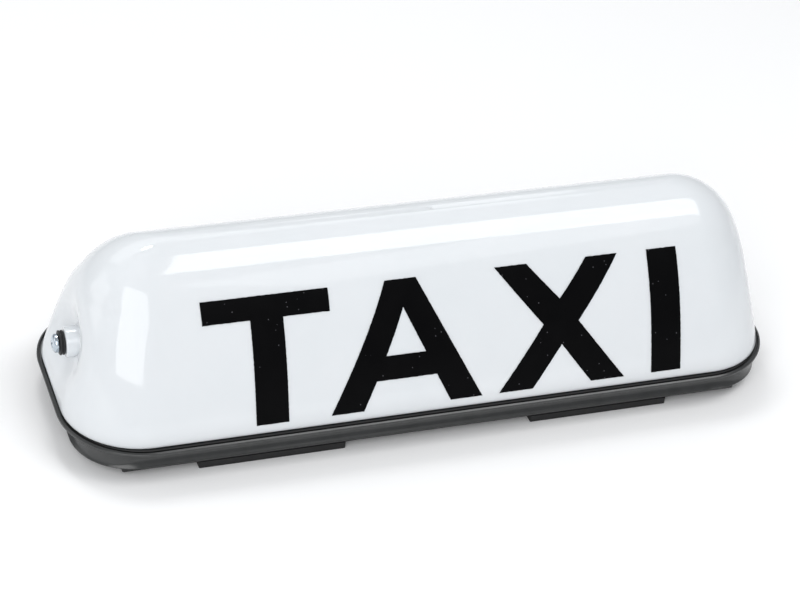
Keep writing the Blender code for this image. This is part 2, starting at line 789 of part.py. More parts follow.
def lamp_contact(name, middle, side, material, parts, tools):
    """A sprung brass blade whose hole takes the tip of the lamp's cap."""
    bottom = REFLECTOR_BOTTOM + REFLECTOR_THICKNESS + LAMP_BASE_HEIGHT + 2 * CLEARANCE
    blade = GLASS_LENGTH / 2 + CLEARANCE + CAP_LENGTH + CLEARANCE
    top = LAMP_AXIS + CONTACT_OVER
    outline = [
        (blade, bottom + CONTACT_THICKNESS),
        (blade, top),
        (blade + 1.6 * MM, top + 2.0 * MM),
        (blade + 1.6 * MM + CONTACT_THICKNESS, top + 1.6 * MM),
        (blade + CONTACT_THICKNESS, top - 0.3 * MM),
        (blade + CONTACT_THICKNESS, bottom),
        (blade - CONTACT_FOOT, bottom),
        (blade - CONTACT_FOOT, bottom + CONTACT_THICKNESS),
    ]
    shape = bmesh.new()
    corners = [
        shape.verts.new((middle + side * x, -CONTACT_WIDTH / 2, z)) for x, z in outline
    ]
    face = shape.faces.new(corners)
    grown = bmesh.ops.extrude_face_region(shape, geom=[face])["geom"]
    moved = [item for item in grown if isinstance(item, bmesh.types.BMVert)]
    bmesh.ops.translate(shape, vec=(0.0, CONTACT_WIDTH, 0.0), verts=moved)
    contact = mesh_object(name, shape, material, parts)
    hole = [((middle + side * blade, 0.0, LAMP_AXIS), CONTACT_HOLE, THROUGH / 2)]
    combine(contact, cylinders(name + "_hole", hole, tools, "X"), "DIFFERENCE")
    return contact


def lamp_tube(name, middle, material, parts):
    """The glass of one festoon lamp: a tube open at both ends, necked in to its caps."""
    half = GLASS_LENGTH / 2
    neck = GLASS_RADIUS - GLASS_NECKING
    outline = [
        (neck, half),
        (GLASS_RADIUS - 0.5 * MM, half - GLASS_SHOULDER / 2),
        (GLASS_RADIUS, half - GLASS_SHOULDER),
        (GLASS_RADIUS, -half + GLASS_SHOULDER),
        (GLASS_RADIUS - 0.5 * MM, -half + GLASS_SHOULDER / 2),
        (neck, -half),
        (neck - GLASS_WALL, -half),
        (GLASS_RADIUS - GLASS_WALL, -half + GLASS_SHOULDER),
        (GLASS_RADIUS - GLASS_WALL, half - GLASS_SHOULDER),
        (neck - GLASS_WALL, half),
    ]
    turn = Matrix.Rotation(math.pi / 2, 4, "Y")
    place = Matrix.Translation((middle, 0.0, LAMP_AXIS)) @ turn
    return closed_profile(name, outline, place, material, parts, SMALL_STEPS)


def lamp_cap(name, middle, side, material, parts):
    """One metal cap of a festoon lamp, with the conical tip that sits in its contact."""
    profile = [
        (0.0, CAP_LENGTH + CAP_TIP),
        (1.0 * MM, CAP_LENGTH + CAP_TIP),
        (1.8 * MM, CAP_LENGTH - 0.4 * MM),
        (3.2 * MM, CAP_LENGTH - 1.8 * MM),
        (CAP_RADIUS, CAP_LENGTH - 3.4 * MM),
        (CAP_RADIUS, 0.4 * MM),
        (CAP_RADIUS - 0.4 * MM, 0.0),
        (0.0, 0.0),
    ]
    turn = Matrix.Rotation(side * math.pi / 2, 4, "Y")
    start = middle + side * (GLASS_LENGTH / 2 + CLEARANCE)
    place = Matrix.Translation((start, 0.0, LAMP_AXIS)) @ turn
    return turned(name, profile, place, material, parts, SMALL_STEPS)


def terminal_block(material, parts, tools):
    """The two-way terminal block in the middle of the reflector."""
    bottom = REFLECTOR_BOTTOM + REFLECTOR_THICKNESS + CLEARANCE
    block = box(
        "terminal_block",
        (-TERMINAL_LENGTH / 2, -TERMINAL_WIDTH / 2, bottom),
        (TERMINAL_LENGTH / 2, TERMINAL_WIDTH / 2, bottom + TERMINAL_HEIGHT),
        material,
        parts,
        1.5 * MM,
    )
    wells = [
        ((x, 0.0, bottom + TERMINAL_HEIGHT), TERMINAL_WELL, TERMINAL_WELL_DEPTH)
        for x in (-TERMINAL_SCREW_X, TERMINAL_SCREW_X)
    ]
    combine(block, cylinders("terminal_wells", wells, tools), "DIFFERENCE")
    ports = [
        ((side * TERMINAL_LENGTH / 2, y, bottom + PORT_RISE), PORT_RADIUS, PORT_DEPTH)
        for side in (-1, 1)
        for y in (-PORT_Y, PORT_Y)
    ]
    combine(block, cylinders("terminal_ports", ports, tools, "X"), "DIFFERENCE")
    return block


def terminal_screw(name, x, material, parts, tools):
    """A slotted brass clamping screw down in its well."""
    seat = REFLECTOR_BOTTOM + REFLECTOR_THICKNESS + CLEARANCE + TERMINAL_HEIGHT - CLAMP_SUNK
    profile = [
        (0.0, CLAMP_HEAD),
        (CLAMP_RADIUS - 0.2 * MM, CLAMP_HEAD),
        (CLAMP_RADIUS, CLAMP_HEAD - 0.3 * MM),
        (CLAMP_RADIUS, 0.0),
        (CLAMP_SHANK, 0.0),
        (CLAMP_SHANK, -CLAMP_REACH),
        (0.0, -CLAMP_REACH),
    ]
    place = Matrix.Translation((x, 0.0, seat))
    screw = turned(name, profile, place, material, parts, SMALL_STEPS)
    blade = box(
        name + "_slot",
        (-CLAMP_RADIUS - CUT_PAST, -CLAMP_SLOT / 2, CLAMP_HEAD / 2),
        (CLAMP_RADIUS + CUT_PAST, CLAMP_SLOT / 2, CLAMP_HEAD + CUT_PAST),
        None,
        tools,
    )
    blade.matrix_world = place @ Matrix.Rotation(CLAMP_TURN, 4, "Z")
    combine(screw, helper(blade), "DIFFERENCE")
    return screw


def lead(name, points, material, parts):
    """An insulated lead through a few points, smoothed into a round tube."""
    curve = bpy.data.curves.new(name, "CURVE")
    curve.dimensions = "3D"
    curve.bevel_depth = LEAD_RADIUS
    curve.bevel_resolution = 2
    curve.use_fill_caps = True
    smooth = smooth_route([Vector(point) for point in points], 3)
    spline = curve.splines.new("POLY")
    spline.points.add(len(smooth) - 1)
    for place, point in zip(spline.points, smooth):
        place.co = (*point, 1.0)
    return add_object(name, curve, material, parts)


def smooth_route(points, steps):
    """Catmull-Rom points through the given ones."""
    padded = [points[0] * 2 - points[1]] + points + [points[-1] * 2 - points[-2]]
    route = []
    for a, b, c, d in zip(padded, padded[1:], padded[2:], padded[3:]):
        for step in range(steps):
            t = step / steps
            route.append(
                0.5 * (2 * b + (c - a) * t + (2 * a - 5 * b + 4 * c - d) * t**2
                       + (3 * b - a - 3 * c + d) * t**3)
            )
    route.append(points[-1])
    return route


def lead_route(side, y, near):
    """From a terminal port to the foot of a lamp contact, lying just over the reflector."""
    floor = REFLECTOR_BOTTOM + REFLECTOR_THICKNESS + CLEARANCE + LEAD_RADIUS + LEAD_LIFT
    port = REFLECTOR_BOTTOM + REFLECTOR_THICKNESS + CLEARANCE + PORT_RISE
    inner_contact = LAMP_X - GLASS_LENGTH / 2 - CAP_LENGTH - 1.0 * MM
    outer_contact = LAMP_X + GLASS_LENGTH / 2 + CAP_LENGTH + 1.0 * MM
    end = inner_contact if near else outer_contact
    spread = math.copysign(LAMP_BASE_WIDTH / 2 + 4.0 * MM, y)
    rise = REFLECTOR_BOTTOM + REFLECTOR_THICKNESS + LAMP_BASE_HEIGHT + 2 * CLEARANCE + 2.6 * MM
    reach = CONTACT_WIDTH / 2 + CLEARANCE + LEAD_RADIUS
    points = [
        (side * (TERMINAL_LENGTH / 2 - PORT_DEPTH / 2), y, port),
        (side * (TERMINAL_LENGTH / 2 + PORT_DEPTH), y, port),
        (side * (TERMINAL_LENGTH / 2 + 9.0 * MM), y * 1.8, floor + 0.8 * MM),
        (side * (LAMP_X - LAMP_BASE_LENGTH / 2 - 4.0 * MM), spread * 0.93, floor),
    ]
    if not near:
        points.append((side * LAMP_X, spread * 1.06, floor))
    points += [
        (side * (end - 6.0 * MM), spread, floor + 0.4 * MM),
        (side * (end - 1.0 * MM), spread * 0.9, floor + 4.5 * MM),
        (side * end, math.copysign(reach + 2.0 * MM, y), rise + 0.4 * MM),
        (side * end, math.copysign(reach, y), rise),
    ]
    return points


def build():
    """Makes every piece of the sign."""
    clear_scene()
    parts = make_collection("taxi_roof_sign")
    tools = make_collection("cutters")
    abs_black = black_tray_plastic()
    rubber = black_rubber()
    zinc = zinc_steel()
    yellow_metal = brass()
    nickel = nickel_cap()
    glass = lamp_glass()
    ferrite = magnet_ferrite()
    phenolic = brown_phenolic()
    red = lead_insulation("red_pvc", (0.5, 0.02, 0.02))
    black = lead_insulation("black_pvc", (0.02, 0.02, 0.02))

    base_tray(abs_black, parts, tools)
    cover_seal(rubber, parts)
    cover(opal_dome_plastic(), parts, tools)
    mounting_plate(coated_steel(), parts, tools)
    cable_grommet(rubber, parts)
    reflector_plate(white_paint(), parts, tools)
    terminal_block(cream_nylon(), parts, tools)
    for number, x in enumerate((-TERMINAL_SCREW_X, TERMINAL_SCREW_X), 1):
        terminal_screw(f"terminal_screw_{number}", x, yellow_metal, parts, tools)

    for name, middle in foot_places():
        foot_boot(f"foot_boot_{name}", middle, rubber, parts, tools)
        foot_magnet(f"foot_magnet_{name}", middle, ferrite, parts, tools)
    seat = TRAY_FLOOR_TOP + CLEARANCE
    for number, (x, y) in enumerate(foot_screw_places(), 1):
        reach = seat - BOOT_FLOOR - 2 * CLEARANCE
        small_screw(f"foot_screw_{number}", x, y, seat, reach, zinc, parts, tools)
    seat = REFLECTOR_BOTTOM + REFLECTOR_THICKNESS + CLEARANCE
    for number, (x, y) in enumerate(pillar_places(), 1):
        small_screw(f"reflector_screw_{number}", x, y, seat, REFLECTOR_SCREW_REACH, zinc, parts, tools)

    for name, side in (("left", -1), ("right", 1)):
        end_screw(f"end_screw_{name}", side, zinc, parts, tools)
        end_washer(f"end_washer_{name}", side, rubber, parts)
        end_nut(f"end_nut_{name}", side, zinc, parts, tools)
        end_bracket(f"end_bracket_{name}", side, zinc, parts, tools)
        seat = TRAY_FLOOR_TOP + BRACKET_THICKNESS + 2 * CLEARANCE
        place = bracket_screw_places()[side > 0]
        small_screw(f"bracket_screw_{name}", place, 0.0, seat, BRACKET_SCREW_REACH, zinc, parts, tools)

        middle = side * LAMP_X
        lamp_base(f"lamp_base_{name}", middle, phenolic, parts)
        lamp_tube(f"lamp_glass_{name}", middle, glass, parts)
        for where, facing in (("inner", -side), ("outer", side)):
            lamp_cap(f"lamp_cap_{name}_{where}", middle, facing, nickel, parts)
            lamp_contact(
                f"lamp_contact_{name}_{where}", middle, facing, yellow_metal, parts, tools
            )
        lead(f"lead_live_{name}", lead_route(side, PORT_Y, True), red, parts)
        lead(f"lead_earth_{name}", lead_route(side, -PORT_Y, False), black, parts)


build()
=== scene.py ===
"""The looks of an illuminated taxi roof sign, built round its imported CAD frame.

Every sub-assembly is a class with its sizes as fields and methods that build and dress its pieces,
and every finish is a frozen dataclass named for the real material. Lengths are in metres and the
frame is the CAD's: X along the sign, Y to the back, Z up from the surface that the feet stand on.
"""

from __future__ import annotations

import logging
import math
from collections.abc import Callable, Iterable, Sequence
from dataclasses import dataclass, field
from enum import Enum

import bmesh
import bpy
from mathutils import Matrix, Vector, noise


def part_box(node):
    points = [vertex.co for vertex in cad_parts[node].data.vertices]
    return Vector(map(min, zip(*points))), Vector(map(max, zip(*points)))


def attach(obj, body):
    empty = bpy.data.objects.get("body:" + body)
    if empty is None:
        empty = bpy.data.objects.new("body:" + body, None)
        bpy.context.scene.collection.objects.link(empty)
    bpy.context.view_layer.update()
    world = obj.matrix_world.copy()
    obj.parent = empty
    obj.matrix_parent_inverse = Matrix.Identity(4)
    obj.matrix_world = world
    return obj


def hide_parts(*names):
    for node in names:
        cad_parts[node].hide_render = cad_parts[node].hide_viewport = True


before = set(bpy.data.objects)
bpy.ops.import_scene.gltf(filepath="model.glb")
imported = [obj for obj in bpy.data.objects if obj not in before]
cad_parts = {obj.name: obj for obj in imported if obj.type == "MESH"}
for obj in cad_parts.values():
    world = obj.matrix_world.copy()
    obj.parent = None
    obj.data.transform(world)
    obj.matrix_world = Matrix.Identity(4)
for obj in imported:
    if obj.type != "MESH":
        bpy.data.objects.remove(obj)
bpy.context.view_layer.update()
LOG = logging.getLogger("taxi_roof_sign")
MM = 0.001


class Body(Enum):
    """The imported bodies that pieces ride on."""

    BASE = "base"
    COVER = "cover"
    SCREW_LEFT = "end_screw_left"
    SCREW_RIGHT = "end_screw_right"


class End(Enum):
    """The two ends of the sign, by the sign of X."""

    LEFT = -1
    RIGHT = 1

    @property
    def word(self) -> str:
        """The end's name as the nodes spell it."""
        return self.name.lower()

    @property
    def screw_body(self) -> Body:
        """The body of that end's screw."""
        return Body.SCREW_LEFT if self is End.LEFT else Body.SCREW_RIGHT


def linear(hex_colour: str) -> tuple[float, float, float, float]:
    """Turns an sRGB hex colour into linear RGBA.

    Args:
        hex_colour: Six hex digits, with or without a leading #.

    Returns:
        Red, green, blue and an alpha of 1, linear.
    """
    digits = hex_colour.lstrip("#")
    channels = [int(digits[i : i + 2], 16) / 255 for i in (0, 2, 4)]
    curve = [c / 12.92 if c <= 0.04045 else ((c + 0.055) / 1.055) ** 2.4 for c in channels]
    return curve[0], curve[1], curve[2], 1.0


def add_node(
    tree: bpy.types.NodeTree,
    kind: str,
    settings: dict[str, object] | None = None,
    inputs: dict[str | int, object] | None = None,
) -> bpy.types.Node:
    """Adds a node with its settings, values and incoming links.

    Args:
        tree: The material's or world's node tree.
        kind: The node's bl_idname.
        settings: Attributes to set on the node.
        inputs: Values, or output sockets to link, by input name or number.

    Returns:
        The new node.
    """
    node = tree.nodes.new(kind)
    for name, value in (settings or {}).items():
        setattr(node, name, value)
    for name, value in (inputs or {}).items():
        if isinstance(value, bpy.types.NodeSocket):
            tree.links.new(value, node.inputs[name])
        else:
            node.inputs[name].default_value = value
    return node


def ramp_stops(node: bpy.types.Node, stops: Sequence[tuple[float, tuple[float, ...]]]) -> None:
    """Sets a colour ramp's stops.

    Args:
        node: The colour ramp node.
        stops: (position, linear RGBA) pairs in order.
    """
    elements = node.color_ramp.elements
    while len(elements) < len(stops):
        elements.new(0.5)
    for element, (place, colour) in zip(elements, stops):
        element.position = place
        element.color = colour


@dataclass(frozen=True)
class Finish:
    """A finish: a Principled surface whose tone, gloss and relief vary as the real one's do.

    Args:
        name: The material's name.
        slot: The record's material slot; not used.
        light: sRGB colour of the surface's lighter areas.
        dark: sRGB colour of its darker areas.
        mottle_mm: Size of the tone's patches.
        rough: Lowest and highest roughness.
        grain_mm: Size of the surface relief.
        grain_depth_mm: Height of the relief.
        metallic: 1 for a metal.
        ior: Index of refraction; metals keep the default.
        extra: Other uniform values for the shader's own sockets.
    """

    name: str
    slot: str
    light: str
    dark: str
    mottle_mm: float
    rough: tuple[float, float]
    grain_mm: float
    grain_depth_mm: float
    metallic: float = 0.0
    ior: float = 1.5
    extra: tuple[tuple[str, object], ...] = ()

    def tone(self, tree: bpy.types.NodeTree, place: bpy.types.NodeSocket) -> bpy.types.NodeSocket:
        """The base colour's socket: soft patches between the light and the dark tone."""
        patches = add_node(
            tree,
            "ShaderNodeTexNoise",
            inputs={"Vector": place, "Scale": 1000 / self.mottle_mm, "Detail": 4.0},
        )
        ramp = add_node(tree, "ShaderNodeValToRGB", inputs={"Fac": patches.outputs["Fac"]})
        ramp_stops(ramp, ((0.3, linear(self.dark)), (0.7, linear(self.light))))
        return ramp.outputs["Color"]

    def relief(self, tree: bpy.types.NodeTree, place: bpy.types.NodeSocket) -> bpy.types.NodeSocket:
        """The height map's socket, 0 to 1."""
        grain = add_node(
            tree,
            "ShaderNodeTexNoise",
            inputs={"Vector": place, "Scale": 1000 / self.grain_mm, "Detail": 3.0},
        )
        return grain.outputs["Fac"]

    def gloss(self, tree: bpy.types.NodeTree, place: bpy.types.NodeSocket) -> bpy.types.NodeSocket:
        """The roughness socket: handling marks that wander between the two values."""
        marks = add_node(
            tree,
            "ShaderNodeTexNoise",
            inputs={"Vector": place, "Scale": 400 / self.mottle_mm, "Detail": 6.0},
        )
        spread = add_node(
            tree,
            "ShaderNodeMapRange",
            inputs={
                "Value": marks.outputs["Fac"],
                "From Min": 0.3,
                "From Max": 0.7,
                "To Min": self.rough[0],
                "To Max": self.rough[1],
            },
        )
        return spread.outputs["Result"]

    def build(self) -> bpy.types.Material:
        """Makes the material once and returns it."""
        known = bpy.data.materials.get(self.name)
        if known:
            return known
        material = bpy.data.materials.new(self.name)
        material.use_nodes = True
        tree = material.node_tree
        shader = tree.nodes["Principled BSDF"]
        place = add_node(tree, "ShaderNodeTexCoord").outputs["Object"]
        tree.links.new(self.tone(tree, place), shader.inputs["Base Color"])
        tree.links.new(self.gloss(tree, place), shader.inputs["Roughness"])
        shader.inputs["Metallic"].default_value = self.metallic
        shader.inputs["IOR"].default_value = self.ior
        for socket, value in self.extra:
            shader.inputs[socket].default_value = value
        if self.grain_depth_mm:
            bump = add_node(
                tree,
                "ShaderNodeBump",
                inputs={
                    "Height": self.relief(tree, place),
                    "Distance": self.grain_depth_mm * MM,
                    "Strength": 1.0,
                },
            )
            tree.links.new(bump.outputs["Normal"], shader.inputs["Normal"])
        return material


@dataclass(frozen=True)
class SpeckledPrint(Finish):
    """Screen-printed black ink: satin, with fine pinholes and dust specks in it."""

    speck_mm: float = 1.1
    speck: str = "#5A5A5E"

    def tone(self, tree: bpy.types.NodeTree, place: bpy.types.NodeSocket) -> bpy.types.NodeSocket:
        """Black ink with sparse grey specks."""
        base = super().tone(tree, place)
        cells = add_node(
            tree, "ShaderNodeTexVoronoi", inputs={"Vector": place, "Scale": 1000 / (self.speck_mm * 3)}
        )
        dot = add_node(
            tree,
            "ShaderNodeMath",
            {"operation": "LESS_THAN"},
            {0: cells.outputs["Distance"], 1: 0.085},
        )
        chosen = add_node(
            tree,
            "ShaderNodeMath",
            {"operation": "GREATER_THAN"},
            {0: add_node(tree, "ShaderNodeSeparateColor", inputs={0: cells.outputs["Color"]}).outputs[0],
             1: 0.55},
        )
        both = add_node(
            tree,
            "ShaderNodeMath",
            {"operation": "MULTIPLY"},
            {0: dot.outputs[0], 1: chosen.outputs[0]},
        )
        mix = add_node(
            tree,
            "ShaderNodeMix",
            {"data_type": "RGBA"},
            {"Factor": both.outputs[0], 6: base, 7: linear(self.speck)},
        )
        return mix.outputs[2]


# Opal cast acrylic, blow-formed: milky, deep gloss, a trace of orange peel from the mould.
OPAL_ACRYLIC = Finish(
    "opal_acrylic_moulded", "opal_acrylic", "#E1E4E7", "#DDE1E4", 60.0, (0.03, 0.05), 16.0, 0.002,
    ior=1.49,
    extra=(
        ("Subsurface Weight", 0.35),
        ("Subsurface Radius", (0.006, 0.006, 0.006)),
        ("Subsurface Scale", 1.0),
    ),
)
# ABS, injection moulded against a spark-eroded tool: black, satin, fine grain that greys the sheen.
SATIN_ABS = Finish(
    "black_abs_spark_texture", "black_abs", "#373838", "#2F3030", 8.0, (0.2, 0.27), 0.5, 0.012,
    ior=1.53,
)
# Natural rubber, compression moulded: dull, nearly black, a little dusty.
MOULDED_RUBBER = Finish(
    "black_rubber_moulded", "black_rubber", "#111112", "#0A0A0B", 5.0, (0.5, 0.68), 0.4, 0.02,
    ior=1.52,
)
# Sheet steel with black powder coat: soft orange peel of about a millimetre.
POWDER_COAT = Finish(
    "steel_black_powder_coat", "black_coated_steel", "#151516", "#0E0E0F", 20.0, (0.38, 0.5), 0.9,
    0.02,
)
# Zinc-plated steel, blue passivated: bright, cool, with faint cloudy patches.
ZINC_PLATE = Finish(
    "steel_blue_zinc_plated", "zinc_steel", "#D3DCE4", "#A9B4BE", 3.0, (0.16, 0.3), 0.5, 0.006,
    metallic=1.0,
)
# Sheet steel with stoved white enamel: clean, half gloss.
WHITE_ENAMEL = Finish(
    "steel_white_stoved_enamel", "white_enamel", "#EFEEE9", "#E4E2DB", 45.0, (0.24, 0.34), 1.6,
    0.01,
)
# Spring brass, rolled and stamped: warm, with darker handling marks.
SPRING_BRASS = Finish(
    "brass_rolled_spring", "brass", "#D9B25C", "#A8843C", 4.0, (0.22, 0.38), 0.4, 0.004,
    metallic=1.0,
)
# Drawn soda glass: clear, with the slight thickness waves of drawing.
DRAWN_GLASS = Finish(
    "soda_glass_drawn", "lamp_glass", "#FBFDFD", "#F4F8F8", 10.0, (0.01, 0.03), 6.0, 0.004,
    ior=1.52,
    extra=(("Transmission Weight", 1.0),),
)
# Nickel-plated brass, deep drawn: warm grey, bright.
NICKEL_PLATE = Finish(
    "brass_nickel_plated", "nickel", "#CFC9BF", "#A49E94", 3.0, (0.14, 0.26), 0.5, 0.004,
    metallic=1.0,
)
# Ferrite, pressed and sintered: charcoal, matt, finely gritty.
SINTERED_FERRITE = Finish(
    "ferrite_sintered", "ferrite", "#3A3A3D", "#29292B", 3.0, (0.6, 0.75), 0.3, 0.02,
)
# Nylon 6, natural: waxy cream.
NATURAL_NYLON = Finish(
    "nylon_natural_moulded", "cream_nylon", "#E6DCC3", "#D8CCB0", 6.0, (0.38, 0.5), 0.8, 0.01,
    ior=1.53, extra=(("Subsurface Weight", 0.2), ("Subsurface Radius", (0.002, 0.0015, 0.001))),
)
# Phenolic resin, wood-flour filled: dark brown with lighter flecks.
BROWN_PHENOLIC = Finish(
    "phenolic_brown_moulded", "brown_phenolic", "#5A3320", "#33190D", 1.2, (0.25, 0.4), 0.6, 0.01,
)
# Flexible PVC, extruded over stranded wire.
RED_PVC = Finish(
    "pvc_red_extruded", "red_pvc", "#B3221C", "#99170F", 5.0, (0.34, 0.46), 0.7, 0.006, ior=1.53
)
BLACK_PVC = Finish(
    "pvc_black_extruded", "black_pvc", "#1D1D1E", "#131314", 5.0, (0.34, 0.46), 0.7, 0.006, ior=1.53
)
# Tungsten wire, coiled: dark steel grey.
TUNGSTEN = Finish(
    "tungsten_coiled", "nickel", "#7C7C80", "#5D5D61", 0.5, (0.3, 0.4), 0.2, 0.0, metallic=1.0
)
# Solvent screen ink on acrylic: dense black, satin, with pinholes and dust.
SCREEN_INK = SpeckledPrint(
    "ink_black_screen_printed", "black_film", "#080809", "#060607", 9.0, (0.3, 0.4), 0.5, 0.004,
    ior=1.49, extra=(("Specular IOR Level", 0.05),),
)

CAD_FINISHES = {
    "foot_magnet": SINTERED_FERRITE,
    "end_nut": ZINC_PLATE,
}


@dataclass(frozen=True)
class Outline:
    """A rectangle with rounded corners: half length, half width, corner radius and height."""

    half_length: float
    half_width: float
    corner: float
    height: float


@dataclass
class Workshop:
    """Makes pieces: turns a bmesh into an object that rides and wears a finish."""

    smooth_angle: float = math.radians(32.0)
    ring_steps: int = 64
    made: list[bpy.types.Object] = field(default_factory=list)

    def loose(self, name: str, shape: bmesh.types.BMesh, outward: bool = True) -> bpy.types.Object:
        """Turns a bmesh into a mesh object at the origin, its doubles merged.

        Args:
            name: The object's name.
            shape: The bmesh, which is freed.
            outward: Whether to recalculate the normals.

        Returns:
            The new object, in the scene.
        """
        bmesh.ops.remove_doubles(shape, verts=shape.verts, dist=0.002 * MM)
        if outward:
            bmesh.ops.recalc_face_normals(shape, faces=shape.faces)
        mesh = bpy.data.meshes.new(name)
        shape.to_mesh(mesh)
        shape.free()
        mesh.shade_smooth()
        mesh.set_sharp_from_angle(angle=self.smooth_angle)
        made = bpy.data.objects.new(name, mesh)
        bpy.context.scene.collection.objects.link(made)
        return made

    def settle(self, made: bpy.types.Object) -> bpy.types.Object:
        """Applies an object's modifiers, so that its mesh holds its final shape."""
        graph = bpy.context.evaluated_depsgraph_get()
        mesh = bpy.data.meshes.new_from_object(made.evaluated_get(graph))
        made.modifiers.clear()
        made.data = mesh
        mesh.shade_smooth()
        mesh.set_sharp_from_angle(angle=self.smooth_angle)
        return made

    def combine(
        self, made: bpy.types.Object, tools: Iterable[bpy.types.Object], operation: str
    ) -> bpy.types.Object:
        """Joins or cuts an object with others, which are used up.

        Args:
            made: The object that is kept.
            tools: The objects that join or cut it.
            operation: UNION or DIFFERENCE.

        Returns:
            The object, its mesh changed.
        """
        used = list(tools)
        for tool in used:
            boolean = made.modifiers.new(tool.name, "BOOLEAN")
            boolean.operation = operation
            boolean.solver = "EXACT"
            boolean.object = tool
        self.settle(made)
        for tool in used:
            bpy.data.objects.remove(tool, do_unlink=True)
        return made

    def finish(
        self, made: bpy.types.Object, body: Body, finish: Finish, *stands_for: str
    ) -> bpy.types.Object:
        """Dresses a piece, lets it ride and hides the CAD nodes that it stands for.

        Args:
            made: The piece.
            body: The body that it rides on.
            finish: What it is made of.
            *stands_for: CAD nodes that it replaces.

        Returns:
            The piece.
        """
        made.data.materials.clear()
        made.data.materials.append(finish.build())
        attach(made, body.value)
        if stands_for:
            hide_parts(*stands_for)
        self.made.append(made)
        LOG.info("%s rides on %s in %s", made.name, body.value, finish.name)
        return made

    def block(
        self, low: Sequence[float], high: Sequence[float], edge: float = 0.0, steps: int = 3
    ) -> bmesh.types.BMesh:
        """A box between two corners, all its edges rounded.

        Args:
            low: Its lowest corner.
            high: Its highest corner.
            edge: The edges' radius.
            steps: Segments of each rounded edge.

        Returns:
            The bmesh.
        """
        size = Vector(high) - Vector(low)
        place = Matrix.Translation((Vector(high) + Vector(low)) / 2) @ Matrix.Diagonal((*size, 1.0))
        shape = bmesh.new()
        bmesh.ops.create_cube(shape, size=1.0, matrix=place)
        if edge:
            bmesh.ops.bevel(
                shape, geom=shape.edges[:], offset=edge, segments=steps, affect="EDGES",
                profile=0.5, material=-1,
            )
        return shape

    def turned(
        self, profile: Sequence[tuple[float, float]], place: Matrix, closed: bool = False,
        steps: int | None = None,
    ) -> bmesh.types.BMesh:
        """Spins a profile of (radius, height) points about Z, then places it.

        Args:
            profile: The points.
            place: Where the turned shape goes.
            closed: Whether the profile is a closed outline, for a ring.
            steps: Steps round the axis.

        Returns:
            The bmesh.
        """
        shape = bmesh.new()
        verts = [shape.verts.new((radius, 0.0, height)) for radius, height in profile]
        pairs = list(zip(verts, verts[1:]))
        if closed:
            pairs.append((verts[-1], verts[0]))
        edges = [shape.edges.new(pair) for pair in pairs]
        bmesh.ops.spin(
            shape, geom=verts + edges, cent=(0, 0, 0), axis=(0, 0, 1), angle=math.tau,
            steps=steps or self.ring_steps, use_merge=True,
        )
        bmesh.ops.remove_doubles(shape, verts=shape.verts, dist=0.002 * MM)
        bmesh.ops.transform(shape, matrix=place, verts=shape.verts)
        return shape

    def column(self, centre: Sequence[float], radius: float, half: float, axis: str = "Z") -> bpy.types.Object:
        """A cylinder to cut or join with, along Z or X."""
        turn = Matrix.Rotation(math.pi / 2, 4, "Y") if axis == "X" else Matrix()
        shape = bmesh.new()
        bmesh.ops.create_cone(
            shape, cap_ends=True, segments=48, radius1=radius, radius2=radius, depth=2 * half,
            matrix=Matrix.Translation(centre) @ turn,
        )
        return self.loose("tool_column", shape)

    def prism(
        self, outline: Sequence[tuple[float, float]], low: float, high: float, plane: str,
        edge: float = 0.0,
    ) -> bmesh.types.BMesh:
        """An outline extruded along the axis that its plane leaves out, its edges eased.

        Args:
            outline: Points in the plane.
            low: Where the extrusion starts.
            high: Where it ends.
            plane: XZ or YZ.
            edge: The radius of the eased edges.

        Returns:
            The bmesh.
        """
        shape = bmesh.new()
        if plane == "XZ":
            corners = [shape.verts.new((a, low, b)) for a, b in outline]
            reach = Vector((0.0, high - low, 0.0))
        else:
            corners = [shape.verts.new((low, a, b)) for a, b in outline]
            reach = Vector((high - low, 0.0, 0.0))
        face = shape.faces.new(corners)
        grown = bmesh.ops.extrude_face_region(shape, geom=[face])["geom"]
        moved = [item for item in grown if isinstance(item, bmesh.types.BMVert)]
        bmesh.ops.translate(shape, vec=reach, verts=moved)
        bmesh.ops.recalc_face_normals(shape, faces=shape.faces)
        if edge:
            bmesh.ops.bevel(
                shape, geom=shape.edges[:], offset=edge, segments=2, affect="EDGES", profile=0.5,
                material=-1, clamp_overlap=True,
            )
        return shape

    def lofted(
        self, outlines: Sequence[Outline], corner_steps: int, end_steps: int = 1,
        bend: Callable[[Vector], Vector] | None = None, caps: bool = True,
    ) -> bmesh.types.BMesh:
        """Grows a ring from outline to outline by extruding its edges.

        Args:
            outlines: The sections in order.
            corner_steps: Steps round each corner.
            end_steps: Steps along each straight end.
            bend: Moves each finished point, such as into a dish.
            caps: Whether to close the last ring, and the first when it isn't open.

        Returns:
            The bmesh, open at its first ring unless capped.
        """
        layout = ring_layout(corner_steps, end_steps)
        shape = bmesh.new()
        ring = bmesh.ops.create_circle(shape, segments=len(layout), radius=1.0)["verts"]
        edges = list(shape.edges)
        first = list(ring)
        self.place_ring(ring, layout, outlines[0], bend)
        for outline in outlines[1:]:
            grown = bmesh.ops.extrude_edge_only(shape, edges=edges)["geom"]
            fresh = {item for item in grown if isinstance(item, bmesh.types.BMVert)}
            edges = [item for item in grown if isinstance(item, bmesh.types.BMEdge)]
            ring = [self.partner(old, fresh) for old in ring]
            self.place_ring(ring, layout, outline, bend)
        shape.faces.new(ring)
        if caps:
            shape.faces.new(first)
        return shape

    @staticmethod
    def partner(old: bmesh.types.BMVert, fresh: set[bmesh.types.BMVert]) -> bmesh.types.BMVert:
        """The new vertex that an extruded one is joined to."""
        return next(e.other_vert(old) for e in old.link_edges if e.other_vert(old) in fresh)

